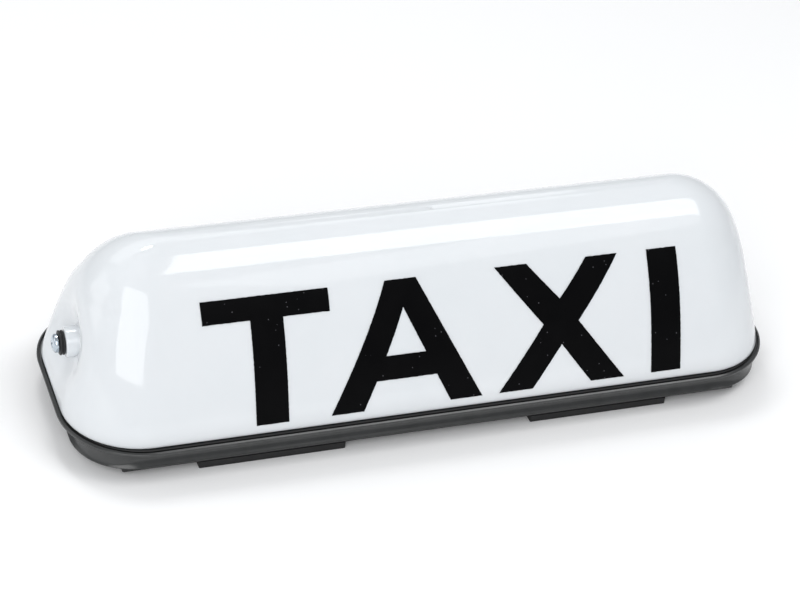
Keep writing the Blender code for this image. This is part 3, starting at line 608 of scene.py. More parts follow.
    @staticmethod
    def place_ring(
        ring: Sequence[bmesh.types.BMVert], layout: Sequence[tuple[float, float, float, float]],
        outline: Outline, bend: Callable[[Vector], Vector] | None,
    ) -> None:
        """Moves a ring's vertices onto an outline."""
        for vertex, (side_x, side_y, turn_x, turn_y) in zip(ring, layout):
            point = Vector((
                side_x * (outline.half_length - outline.corner) + turn_x * outline.corner,
                side_y * (outline.half_width - outline.corner) + turn_y * outline.corner,
                outline.height,
            ))
            vertex.co = bend(point) if bend else point


def ring_layout(corner_steps: int, end_steps: int) -> list[tuple[float, float, float, float]]:
    """Where the points of a rounded rectangle lie, for any size of it.

    Args:
        corner_steps: Steps round each corner.
        end_steps: Steps along each straight end.

    Returns:
        For each point, the shares of the straight half sides and of the corner radius along X, Y.
    """
    layout = []
    for quarter in range(4):
        side_x = 1 if quarter in (0, 3) else -1
        side_y = 1 if quarter in (0, 1) else -1
        for step in range(corner_steps + 1):
            angle = (quarter + step / corner_steps) * math.pi / 2
            layout.append((side_x, side_y, math.cos(angle), math.sin(angle)))
        if quarter in (1, 3):
            for step in range(1, end_steps):
                layout.append((side_x, -side_x * (1 - 2 * step / end_steps), side_x, 0.0))
    return layout


@dataclass
class Dome:
    """The opal cover, its bosses, its moulding gate mark and its printed legend."""

    shop: Workshop
    foot: float = 20.6 * MM
    upright: float = 1.2 * MM
    height: float = 84.9 * MM
    half_length: float = 196.3 * MM
    half_width: float = 62.7 * MM
    corner: float = 40.5 * MM
    wall: float = 2.6 * MM
    foot_flare: float = 1.3 * MM
    flare_rise: float = 6.0 * MM
    face_lean: float = 0.33
    face_power: float = 3.24
    face_round: float = 1.9
    end_lean: float = 0.12
    end_rounding: float = 46.4 * MM
    end_power: float = 4.49
    end_round: float = 2.25
    corner_taper: float = 0.1
    levels: int = 44
    crown_angle: float = math.radians(86.5)
    screw_height: float = 47.4 * MM
    dish_depth: float = 9.5 * MM
    dish_reach: float = 40.0 * MM
    dish_rise: float = 38.0 * MM
    dish_drop: float = 24.0 * MM
    boss_radius: float = 8.0 * MM
    boss_face: float = 191.2 * MM
    boss_back: float = 177.5 * MM
    boss_flare: float = 3.0 * MM
    hole_radius: float = 2.8 * MM
    gate_x: float = 5.5 * MM
    gate_radius: float = 2.2 * MM
    gate_depth: float = 0.35 * MM

    def half_width_at(self, height: float) -> float:
        """Half the dome's width at a height over the ground, outside."""
        rise = min(max(height - self.foot - self.upright, 0.0), self.height)
        share = 1 - (rise / self.height) ** self.face_power
        return (self.half_width - self.face_lean * rise) * share ** (1 / self.face_round)

    def outline(self, angle: float) -> Outline:
        """The dome's section at a level given as an angle from its foot to its crown."""
        rise = self.height * math.sin(angle) ** (2 / self.face_power)
        half_width = (self.half_width - self.face_lean * rise) * math.cos(angle) ** (
            2 / self.face_round
        )
        rounded = (1 - (rise / self.height) ** self.end_power) ** (1 / self.end_round)
        flare = self.foot_flare * math.exp(-rise / self.flare_rise)
        straight = self.half_length + flare - self.end_lean * rise
        half_length = straight - self.end_rounding * (1 - rounded)
        corner = min(self.corner - self.corner_taper * rise, half_width * 0.98)
        return Outline(half_length, half_width, corner, self.foot + self.upright + rise)

    def dish(self, point: Vector) -> Vector:
        """Draws a point of the end inwards round the screw's boss."""
        over = point.z - self.screw_height
        tall = self.dish_rise if over > 0 else self.dish_drop
        away = math.hypot(point.y / self.dish_reach, over / tall)
        if away < 1:
            point.x -= math.copysign(self.dish_depth * math.cos(math.pi / 2 * away) ** 2, point.x)
        return point

    def shell(self) -> bpy.types.Object:
        """The dome itself, drilled through its two bosses."""
        base = self.outline(0.0)
        outlines = [Outline(base.half_length, base.half_width, base.corner, self.foot)]
        for level in range(self.levels):
            outlines.append(self.outline(self.crown_angle * level / (self.levels - 1)))
        shape = self.shop.lofted(outlines, 18, 20, self.dish, caps=False)
        shell = self.shop.loose("dome_shell", shape)
        wall = shell.modifiers.new("wall", "SOLIDIFY")
        wall.thickness = self.wall
        wall.offset = -1.0
        wall.use_even_offset = True
        self.shop.combine(shell, [self.boss(end) for end in End], "UNION")
        holes = [
            self.shop.column((end.value * self.boss_face, 0, self.screw_height),
                             self.hole_radius, 20 * MM, "X")
            for end in End
        ]
        self.shop.combine(shell, [*holes, self.gate_dimple()], "DIFFERENCE")
        return self.shop.finish(shell, Body.COVER, OPAL_ACRYLIC, "cover")

    def boss(self, end: End) -> bpy.types.Object:
        """A boss that flares where it grows out of the dished wall."""
        length = self.boss_face - self.boss_back
        edge = 0.7 * MM
        profile = [(0.0, length)]
        for step in range(5):
            angle = math.pi / 2 * (1 - step / 4)
            profile.append((
                self.boss_radius - edge + edge * math.cos(angle),
                length - edge + edge * math.sin(angle),
            ))
        flare_from = 0.62 * length
        for step in range(1, 9):
            share = step / 8
            profile.append((
                self.boss_radius + self.boss_flare * share**2,
                flare_from * (1 - share * 0.55),
            ))
        profile += [(self.boss_radius, flare_from * 0.2), (self.boss_radius, 0.0), (0.0, 0.0)]
        turn = Matrix.Rotation(end.value * math.pi / 2, 4, "Y")
        place = Matrix.Translation((end.value * self.boss_back, 0, self.screw_height)) @ turn
        return self.shop.loose("tool_boss", self.shop.turned(profile, place))

    def gate_place(self) -> Matrix:
        """Where the gate of the moulding lies on the crown."""
        return Matrix.Translation((self.gate_x, 0.0, self.outline(self.crown_angle).height))

    def gate_dimple(self) -> bpy.types.Object:
        """The shallow hollow left round the gate, as a tool that cuts it."""
        profile = [(0.0, 1.0 * MM), (self.gate_radius, 1.0 * MM)]
        for step in range(7):
            away = self.gate_radius * (1 - step / 6)
            profile.append((away, -self.gate_depth * (1 - (away / self.gate_radius) ** 2)))
        return self.shop.loose("tool_gate", self.shop.turned(profile, self.gate_place()))

    def gate_mark(self) -> bpy.types.Object:
        """The trimmed nib of the gate, standing in the hollow."""
        profile = [
            (0.0, -0.02 * MM),
            (self.gate_radius * 0.16, -0.05 * MM),
            (self.gate_radius * 0.28, -0.14 * MM),
            (self.gate_radius * 0.36, -0.34 * MM),
            (self.gate_radius * 0.36, -0.7 * MM),
            (0.0, -0.7 * MM),
        ]
        mark = self.shop.loose("dome_gate_mark", self.shop.turned(profile, self.gate_place()))
        return self.shop.finish(mark, Body.COVER, OPAL_ACRYLIC)

    def build(self) -> None:
        """Makes the dome and the legend on both of its faces."""
        self.shell()
        self.gate_mark()
        for name, turned in (("legend_front", False), ("legend_back", True)):
            Legend(self.shop, self).build(name, turned)


@dataclass
class Legend:
    """The generic service word in plain block letters of straight strokes, screen printed."""

    shop: Workshop
    dome: Dome
    baseline: float = 25.1 * MM
    cap_line: float = 86.0 * MM
    band: float = 1.6 * MM
    clearance: float = 0.05 * MM
    film: float = 0.12 * MM
    ragged: float = 0.16 * MM
    edge_step: float = 1.4 * MM

    def halves(self) -> list[tuple[float, list[tuple[float, float]]]]:
        """Each letter's centre line and the right half of its outline, in millimetres."""
        low = self.baseline / MM
        high = self.cap_line / MM
        bar = high - 9.8
        return [
            (-94.5, [(0, low), (8.8, low), (8.8, bar), (34.1, bar), (34.1, high), (0, high)]),
            (-20.7, [(0, 39.8), (16.7, 39.8), (24.1, low), (42.0, low), (8.6, high), (0, high),
                     (0, 74.0), (11.0, 52.0), (0, 52.0)]),
            (67.1, [(0, 46.7), (16.8, low), (36.2, low), (10.1, 57.6), (35.2, high), (17.0, high),
                    (0, 69.1)]),
            (128.1, [(0, low), (8.7, low), (8.7, high), (0, high)]),
        ]

    def flat_letter(self, centre: float, half: Sequence[tuple[float, float]]) -> bmesh.types.BMesh:
        """One letter flat in the XZ plane, both halves, cut into level bands."""
        shape = bmesh.new()
        corners = [shape.verts.new((x * MM, 0.0, z * MM)) for x, z in half]
        shape.faces.new(corners)
        bmesh.ops.mirror(
            shape, geom=shape.verts[:] + shape.edges[:] + shape.faces[:], axis="X",
            merge_dist=0.001 * MM,
        )
        bmesh.ops.translate(shape, vec=(centre * MM, 0, 0), verts=shape.verts)
        count = int((self.cap_line - self.baseline) / self.band)
        for step in range(1, count + 1):
            level = self.baseline + (self.cap_line - self.baseline) * step / (count + 1)
            bmesh.ops.bisect_plane(
                shape, geom=shape.verts[:] + shape.edges[:] + shape.faces[:], dist=1e-7,
                plane_co=(0, 0, level), plane_no=(0, 0, 1),
            )
        return shape

    def rag(self, shape: bmesh.types.BMesh) -> None:
        """Frays the outline a little, as ink creeps under a stencil."""
        rim = [edge for edge in shape.edges if edge.is_boundary]
        for edge in rim:
            cuts = int(edge.calc_length() / self.edge_step)
            if cuts:
                bmesh.ops.subdivide_edges(shape, edges=[edge], cuts=cuts)
        for vertex in shape.verts:
            if vertex.is_boundary:
                along = noise.noise(vertex.co * 900.0)
                across = noise.noise(vertex.co * 900.0 + Vector((3.1, 0.0, 7.7)))
                vertex.co.x += along * self.ragged
                vertex.co.z += across * self.ragged

    def build(self, name: str, turned: bool) -> bpy.types.Object:
        """Prints the word on one face.

        Args:
            name: The piece's name.
            turned: Whether it goes on the back, to be read from behind.

        Returns:
            The piece.
        """
        side = 1 if turned else -1
        whole = bmesh.new()
        for centre, half in self.halves():
            letter = self.flat_letter(centre, half)
            self.rag(letter)
            mesh = bpy.data.meshes.new("letter")
            letter.to_mesh(mesh)
            letter.free()
            whole.from_mesh(mesh)
            bpy.data.meshes.remove(mesh)
        for vertex in whole.verts:
            x, _, z = vertex.co
            vertex.co = (-side * x, side * (self.dome.half_width_at(z) + self.clearance), z)
        bmesh.ops.recalc_face_normals(whole, faces=whole.faces)
        if sum(face.normal.y * face.calc_area() for face in whole.faces) * side < 0:
            bmesh.ops.reverse_faces(whole, faces=whole.faces)
        print_film = self.shop.loose(name, whole, outward=False)
        film = print_film.modifiers.new("film", "SOLIDIFY")
        film.thickness = self.film
        film.offset = 1.0
        self.shop.settle(print_film)
        return self.shop.finish(print_film, Body.COVER, SCREEN_INK)


@dataclass
class EndFastening:
    """The screw and the rubber washer at one end of the dome."""

    shop: Workshop
    end: End
    height: float = 47.4 * MM
    boss_face: float = 191.2 * MM
    gap: float = 0.3 * MM
    washer_radius: float = 6.6 * MM
    washer_thickness: float = 2.7 * MM
    head_radius: float = 5.0 * MM
    head_height: float = 3.3 * MM
    shank_radius: float = 2.4 * MM
    shank_end: float = 169.0 * MM
    thread_pitch: float = 0.8 * MM
    thread_depth: float = 0.35 * MM
    bore: float = 2.8 * MM

    def place(self, distance: float) -> Matrix:
        """A frame on the screw's axis, its Z pointing out of this end."""
        turn = Matrix.Rotation(self.end.value * math.pi / 2, 4, "Y")
        return Matrix.Translation((self.end.value * distance, 0.0, self.height)) @ turn

    def screw(self) -> bpy.types.Object:
        """The pan-head screw: a domed head with a cross recess, and a ridged shank."""
        seat = self.boss_face + self.washer_thickness + 2 * self.gap
        profile = [(0.0, self.head_height)]
        for step in range(1, 13):
            share = step / 12
            profile.append((
                self.head_radius * math.sin(math.pi / 2 * share) ** 0.9,
                self.head_height * (0.22 + 0.78 * math.cos(math.pi / 2 * share) ** 0.62),
            ))
        profile += [(self.head_radius, 0.12 * self.head_height), (self.head_radius * 0.95, 0.0)]
        reach = self.shank_end - seat
        turns = int((-reach - 3 * MM) / self.thread_pitch)
        profile += [(self.shank_radius, 0.0), (self.shank_radius, -2.0 * MM)]
        for turn in range(turns):
            start = -2.0 * MM - turn * self.thread_pitch
            profile += [
                (self.shank_radius - self.thread_depth, start - 0.4 * self.thread_pitch),
                (self.shank_radius, start - 0.8 * self.thread_pitch),
            ]
        profile += [(self.shank_radius - 0.6 * MM, reach), (0.0, reach)]
        screw = self.shop.loose(
            f"end_screw_{self.end.word}_turned", self.shop.turned(profile, self.place(seat))
        )
        self.shop.combine(screw, self.recess(seat), "DIFFERENCE")
        return self.shop.finish(
            screw, self.end.screw_body, ZINC_PLATE, f"end_screw_{self.end.word}"
        )

    def recess(self, seat: float) -> list[bpy.types.Object]:
        """Two tapered blades that sink the cross into the head."""
        blades = []
        for turn in (math.pi / 4, -math.pi / 4):
            shape = self.shop.block((-0.5, -0.5, -0.5), (0.5, 0.5, 0.5))
            for vertex in shape.verts:
                deep = vertex.co.z < 0
                vertex.co.x *= (1.6 if deep else 5.6) * MM
                vertex.co.y *= (0.7 if deep else 1.15) * MM
                vertex.co.z = self.head_height + (-2.4 * MM if deep else 0.8 * MM)
            bmesh.ops.transform(
                shape, matrix=self.place(seat) @ Matrix.Rotation(turn, 4, "Z"), verts=shape.verts
            )
            blades.append(self.shop.loose("tool_blade", shape))
        return blades

    def washer(self) -> bpy.types.Object:
        """The rubber washer: two lips with a waist between them."""
        thick, radius = self.washer_thickness, self.washer_radius
        profile = [(self.bore, 0.0), (radius - 0.7 * MM, 0.0)]
        for low in (0.0, 0.56):
            for step in range(7):
                angle = -math.pi / 2 + math.pi * step / 6
                profile.append((
                    radius - 0.6 * MM + 0.6 * MM * math.cos(angle),
                    thick * (low + 0.22) + thick * 0.22 * math.sin(angle),
                ))
        profile += [(radius - 0.7 * MM, thick), (self.bore, thick)]
        shape = self.shop.turned(profile, self.place(self.boss_face + self.gap), closed=True)
        washer = self.shop.loose(f"end_washer_{self.end.word}_moulded", shape)
        return self.shop.finish(
            washer, Body.COVER, MOULDED_RUBBER, f"end_washer_{self.end.word}"
        )

    def build(self) -> None:
        """Makes the screw and the washer."""
        self.screw()
        self.washer()


# The tray's lip: distance in from the rim and depth below its top, a bevel with soft edges.
RIM_BEVEL = (
    (0.0, 1.1), (0.02, 0.85), (0.07, 0.7), (0.16, 0.58), (0.3, 0.47), (0.5, 0.35), (0.7, 0.235),
    (0.88, 0.135), (1.0, 0.06), (1.08, 0.0), (1.15, 0.02), (1.2, 0.2),
)
# The flange at the tray's foot: share of the wall's inset and height above its underside.
FOOT_FLANGE = (
    (0.8, 0.0), (0.66, 0.02), (0.625, 0.12), (0.61, 0.3), (0.612, 0.45), (0.625, 0.58),
    (0.65, 0.7), (0.685, 0.86),
)


@dataclass
class Tray:
    """The black moulded tray, its gasket and the grommet of its cable inlet."""

    shop: Workshop
    rim_half_length: float = 200.0 * MM
    rim_half_width: float = 67.1 * MM
    rim_corner: float = 44.6 * MM
    rim_top: float = 20.2 * MM
    rim_edge: float = 2.0 * MM
    lip_width: float = 1.2 * MM
    seal_land: float = 18.9 * MM
    bottom: float = 7.8 * MM
    floor_top: float = 10.4 * MM
    inset_ends: float = 8.5 * MM
    inset_sides: float = 7.1 * MM
    foot_corner: float = 24.8 * MM
    inner: tuple[float, float, float] = (188.5 * MM, 56.5 * MM, 33.0 * MM)
    cove_steps: int = 24
    cove_tilt: float = math.radians(61)
    corner_steps: int = 24
    pillar_radius: float = 4.5 * MM
    pillar_top: float = 16.7 * MM
    pillar_x: float = 130.0 * MM
    pillar_y: float = 27.0 * MM
    small_hole: float = 2.3 * MM
    inlet_y: float = 36.0 * MM
    inlet_hole: float = 5.8 * MM
    foot_screws: tuple[float, float] = (92.5 * MM, 34.0 * MM)
    bracket_screw: float = 165.7 * MM

    def wall(self, inward: float, height: float) -> Outline:
        """The wall's outline between the rim's, at 0, and the foot's, at 1."""
        return Outline(
            self.rim_half_length - self.inset_ends * inward,
            self.rim_half_width - self.inset_sides * inward,
            self.rim_corner + (self.foot_corner - self.rim_corner) * inward,
            height,
        )

    def inset(self, distance: float, height: float) -> Outline:
        """An outline inside the rim's by the same distance all round."""
        return Outline(
            self.rim_half_length - distance, self.rim_half_width - distance,
            self.rim_corner - distance, height,
        )

    def outlines(self) -> list[Outline]:
        """The tray's sections, up its hollow-curved wall, over the lip and down inside."""
        wall_foot = self.bottom + 1.05 * MM
        cove_top = self.rim_top - self.rim_edge
        found = [self.wall(inward, self.bottom + above * MM) for inward, above in FOOT_FLANGE]
        cove_span = (cove_top - wall_foot) / (1 + math.sin(self.cove_tilt))
        for step in range(self.cove_steps + 1):
            angle = (math.pi / 2 + self.cove_tilt) * step / self.cove_steps - self.cove_tilt
            reach = 0.875 if angle > 0 else 0.56
            inward = 0.995 - reach * (1.0 - math.cos(angle))
            rise = cove_span * (math.sin(angle) + math.sin(self.cove_tilt))
            found.append(self.wall(inward, wall_foot + rise))
        for inward, over in ((0.115, 0.3), (0.08, 0.35), (0.06, 0.05), (0.03, 0.0)):
            found.append(self.wall(inward, cove_top + over * MM))
        for step in range(5):
            angle = math.pi / 2 * step / 4
            found.append(self.inset(0.3 * MM * (1 - math.sin(angle)),
                                    cove_top + 0.32 * MM - 0.3 * MM * math.cos(angle)))
        for inset, below in RIM_BEVEL:
            found.append(self.inset(inset * MM, self.rim_top - below * MM))
        found.append(self.inset(self.lip_width + 0.1 * MM, self.seal_land + 0.2 * MM))
        found.append(self.inset(self.lip_width + 0.3 * MM, self.seal_land))
        length, width, corner = self.inner
        for inset, height in ((0.0, self.seal_land), (0.3 * MM, self.seal_land - 0.3 * MM),
                              (0.3 * MM, self.floor_top + 1.0 * MM), (0.6 * MM, self.floor_top + 0.3 * MM),
                              (1.3 * MM, self.floor_top)):
            found.append(Outline(length - inset, width - inset, corner - inset, height))
        return found

    def shell(self) -> bpy.types.Object:
        """The tray with its pillars and holes."""
        tray = self.shop.loose("tray_shell", self.shop.lofted(self.outlines(), self.corner_steps, 6))
        middle = (self.bottom + self.floor_top) / 2
        corners = [(x, y) for x in (-self.pillar_x, self.pillar_x)
                   for y in (-self.pillar_y, self.pillar_y)]
        self.shop.combine(tray, [self.pillar(x, y) for x, y in corners], "UNION")
        holes = [self.shop.column((x, y, self.pillar_top + 1.0 * MM), self.small_hole, 8.2 * MM)
                 for x, y in corners]
        foot_x, foot_y = self.foot_screws
        holes += [self.shop.column((x, y, middle), self.small_hole, 5 * MM)
                  for x in (-foot_x, foot_x) for y in (-foot_y, foot_y)]
        holes += [self.shop.column((end.value * self.bracket_screw, 0, middle),
                                   self.small_hole, 5 * MM) for end in End]
        holes.append(self.shop.column((0, self.inlet_y, middle), self.inlet_hole, 5 * MM))
        self.shop.combine(tray, holes, "DIFFERENCE")
        return self.shop.finish(tray, Body.BASE, SATIN_ABS, "base_tray")

    def pillar(self, x: float, y: float) -> bpy.types.Object:
        """One pillar of the reflector, with a fillet at its root."""
        low = self.floor_top - 0.6 * MM
        profile = [(0.0, self.pillar_top), (self.pillar_radius - 0.4 * MM, self.pillar_top),
                   (self.pillar_radius, self.pillar_top - 0.4 * MM)]
        for step in range(5):
            angle = math.pi / 2 * step / 4
            profile.append((self.pillar_radius + 1.2 * MM * (1 - math.cos(angle)),
                            self.floor_top + 1.2 * MM * (1 - math.sin(angle))))
        profile += [(self.pillar_radius + 1.2 * MM, low), (0.0, low)]
        place = Matrix.Translation((x, y, 0.0))
        return self.shop.loose("tool_pillar", self.shop.turned(profile, place, steps=48))

    def seal(self) -> bpy.types.Object:
        """The gasket: a band with two bead lips on the tray's land."""
        low = self.seal_land + 0.3 * MM
        section = [(8.2, 0.0), (2.7, 0.0), (2.7, 0.7), (3.0, 1.0), (3.6, 1.0), (4.0, 0.6),
                   (6.9, 0.6), (7.3, 1.0), (7.9, 1.0), (8.2, 0.7)]
        outlines = [self.inset(across * MM, low + up * MM) for across, up in section]
        shape = self.shop.lofted(outlines, self.corner_steps, 6)
        caps = [face for face in shape.faces if len(face.verts) > 4]
        rims = [edge for face in caps for edge in face.edges]
        bmesh.ops.delete(shape, geom=caps, context="FACES_ONLY")
        bmesh.ops.bridge_loops(shape, edges=rims)
        seal = self.shop.loose("cover_seal_moulded", shape)
        return self.shop.finish(seal, Body.BASE, MOULDED_RUBBER, "cover_seal")

    def grommet(self) -> bpy.types.Object:
        """The rubber grommet, with a rounded collar each side of the floor."""
        profile = [(3.5, 5.5), (7.2, 5.5), (7.8, 5.8), (8.0, 6.5), (8.0, 7.5), (5.5, 7.5),
                   (5.5, 10.7), (8.0, 10.7), (8.0, 11.6), (7.6, 12.2), (6.9, 12.5), (5.6, 12.9),
                   (4.2, 12.9), (3.5, 12.4)]
        place = Matrix.Translation((0.0, self.inlet_y, 0.0))
        shape = self.shop.turned([(r * MM, z * MM) for r, z in profile], place, closed=True)
        grommet = self.shop.loose("cable_grommet_moulded", shape)
        return self.shop.finish(grommet, Body.BASE, MOULDED_RUBBER, "cable_grommet")

    def build(self) -> None:
        """Makes the tray, its gasket and its grommet."""
        self.shell()
        self.seal()
        self.grommet()


@dataclass
class Footing:
    """What the sign stands on: the coated plate, two rubber boots with magnets, and the screws."""

    shop: Workshop
    plate_edge: float = 0.45 * MM
    plate_corner: float = 1.2 * MM
    boot_corner: float = 0.9 * MM
    boot_edge: float = 0.35 * MM
    boot_wall: float = 3.0 * MM
    boot_floor: float = 1.0 * MM
    inlet_y: float = 36.0 * MM
    inlet_hole: float = 9.5 * MM
    screw_hole: float = 2.3 * MM
    screws: tuple[float, float] = (92.5 * MM, 34.0 * MM)

    def slab(self, low: Vector, high: Vector, corner: float, edge: float) -> bmesh.types.BMesh:
        """A flat slab with rounded corners in plan and eased edges."""
        shape = self.shop.block(low, high)
        upright = [e for e in shape.edges
                   if abs(e.verts[0].co.z - e.verts[1].co.z) > (high.z - low.z) / 2]
        bmesh.ops.bevel(shape, geom=upright, offset=corner, segments=8, affect="EDGES",
                        profile=0.5, material=-1)
        level = [e for e in shape.edges if abs(e.verts[0].co.z - e.verts[1].co.z) < 1e-6]
        bmesh.ops.bevel(shape, geom=level, offset=edge, segments=3, affect="EDGES", profile=0.5,
                        material=-1)
        return shape

    def plate(self) -> bpy.types.Object:
        """The powder-coated plate."""
        low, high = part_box("mounting_plate")
        plate = self.shop.loose(
            "mounting_plate_coated", self.slab(low, high, self.plate_corner, self.plate_edge)
        )
        middle = (low.z + high.z) / 2
        x, y = self.screws
        holes = [self.shop.column((a, b, middle), self.screw_hole, 5 * MM)
                 for a in (-x, x) for b in (-y, y)]
        holes.append(self.shop.column((0, self.inlet_y, middle), self.inlet_hole, 5 * MM))
        self.shop.combine(plate, holes, "DIFFERENCE")
        return self.shop.finish(plate, Body.BASE, POWDER_COAT, "mounting_plate")

    def boot(self, end: End) -> bpy.types.Object:
        """One rubber boot, with a fine moulded tread of grooves under it."""
        node = f"foot_boot_{end.word}"
        low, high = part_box(node)
        boot = self.shop.loose(node + "_moulded", self.slab(low, high, self.boot_corner,
                                                            self.boot_edge))
        wall = Vector((self.boot_wall, self.boot_wall, 0.0))
        pocket = self.shop.block(
            low + wall + Vector((0, 0, self.boot_floor)), high - wall + Vector((0, 0, 2 * MM))
        )
        tools = [self.shop.loose("tool_pocket", pocket)]
        grooves = 12
        for step in range(grooves):
            y = low.y + (high.y - low.y) * (step + 1) / (grooves + 1)
            groove = self.shop.block(
                (low.x + 5 * MM, y - 0.5 * MM, -1 * MM), (high.x - 5 * MM, y + 0.5 * MM, 0.35 * MM)
            )
            tools.append(self.shop.loose("tool_groove", groove))
        self.shop.combine(boot, tools, "DIFFERENCE")
        return self.shop.finish(boot, Body.BASE, MOULDED_RUBBER, node)

    def build(self) -> None:
        """Makes the plate and the boots; the magnets keep their solids and get their ferrite."""
        self.plate()
        for end in End:
            self.boot(end)


@dataclass
class SmallScrew:
    """A pan-head screw with a cross recess, upright."""

    shop: Workshop
    head_radius: float = 3.8 * MM
    head_height: float = 2.4 * MM
    shank_radius: float = 1.9 * MM
    pitch: float = 0.7 * MM

    def build(self, node: str, turn: float) -> bpy.types.Object:
        """Makes the screw of a CAD node.

        Args:
            node: The CAD node that it stands for.
            turn: How far its recess is turned, in radians.

        Returns:
            The piece.
        """
        low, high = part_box(node)
        x, y = (low.x + high.x) / 2, (low.y + high.y) / 2
        seat = high.z - self.head_height
        profile = [(0.0, self.head_height)]
        for step in range(1, 10):
            share = step / 9
            profile.append((
                self.head_radius * math.sin(math.pi / 2 * share) ** 0.9,
                self.head_height * (0.2 + 0.8 * math.cos(math.pi / 2 * share) ** 0.65),
            ))
        profile += [(self.head_radius * 0.96, 0.0), (self.shank_radius, 0.0)]
        depth = seat - low.z
        for step in range(int(depth / self.pitch) - 1):
            profile += [
                (self.shank_radius - 0.3 * MM, -(step + 0.5) * self.pitch),
                (self.shank_radius, -(step + 1.0) * self.pitch),
            ]
        profile += [(self.shank_radius - 0.5 * MM, -depth), (0.0, -depth)]
        place = Matrix.Translation((x, y, seat))
        screw = self.shop.loose(node + "_turned", self.shop.turned(profile, place, steps=32))
        blades = []
        for quarter in (0.0, math.pi / 2):
            shape = self.shop.block(
                (-2.2 * MM, -0.4 * MM, self.head_height - 1.2 * MM),
                (2.2 * MM, 0.4 * MM, self.head_height + 1.0 * MM),
            )
            bmesh.ops.transform(
                shape, matrix=place @ Matrix.Rotation(turn + quarter, 4, "Z"), verts=shape.verts
            )
            blades.append(self.shop.loose("tool_blade", shape))
        self.shop.combine(screw, blades, "DIFFERENCE")
        return self.shop.finish(screw, Body.BASE, ZINC_PLATE, node)


@dataclass
class Bracket:
    """The steel angle at one end, its fork open at the top for the end screw."""

    shop: Workshop
    end: End
    bend: float = 2.2 * MM
    edge: float = 0.25 * MM
    slot: float = 6.4 * MM
    screw_height: float = 47.4 * MM
    hole: float = 2.3 * MM
    hole_x: float = 165.7 * MM

    def build(self) -> bpy.types.Object:
        """Makes the bracket."""
        node = f"end_bracket_{self.end.word}"
        low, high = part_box(node)
        thick = 1.5 * MM
        outer = max(abs(low.x), abs(high.x))
        inner = min(abs(low.x), abs(high.x))
        outline = [(inner, low.z), (outer - self.bend, low.z)]
        for step in range(1, 7):
            angle = math.pi / 2 * step / 6
            outline.append((outer - self.bend + self.bend * math.sin(angle),
                            low.z + self.bend * (1 - math.cos(angle))))
        outline += [(outer, high.z), (outer - thick, high.z)]
        small = self.bend - thick
        for step in range(7):
            angle = math.pi / 2 * (1 - step / 6)
            outline.append((outer - self.bend + small * math.sin(angle),
                            low.z + self.bend - small * math.cos(angle)))
        outline.append((inner, low.z + thick))
        points = [(self.end.value * x, z) for x, z in outline]
        shape = self.shop.prism(points, low.y, high.y, "XZ")
        bracket = self.shop.loose(node + "_pressed", shape)
        fork = self.shop.block(
            (self.end.value * outer - 6 * MM, -self.slot / 2, self.screw_height),
            (self.end.value * outer + 6 * MM, self.slot / 2, high.z + 5 * MM),
        )
        tools = [
            self.shop.loose("tool_fork", fork),
            self.shop.column((self.end.value * outer, 0, self.screw_height), self.slot / 2,
                             6 * MM, "X"),
            self.shop.column((self.end.value * self.hole_x, 0, low.z), self.hole, 5 * MM),
        ]
        self.shop.combine(bracket, tools, "DIFFERENCE")
        return self.shop.finish(bracket, Body.BASE, ZINC_PLATE, node)


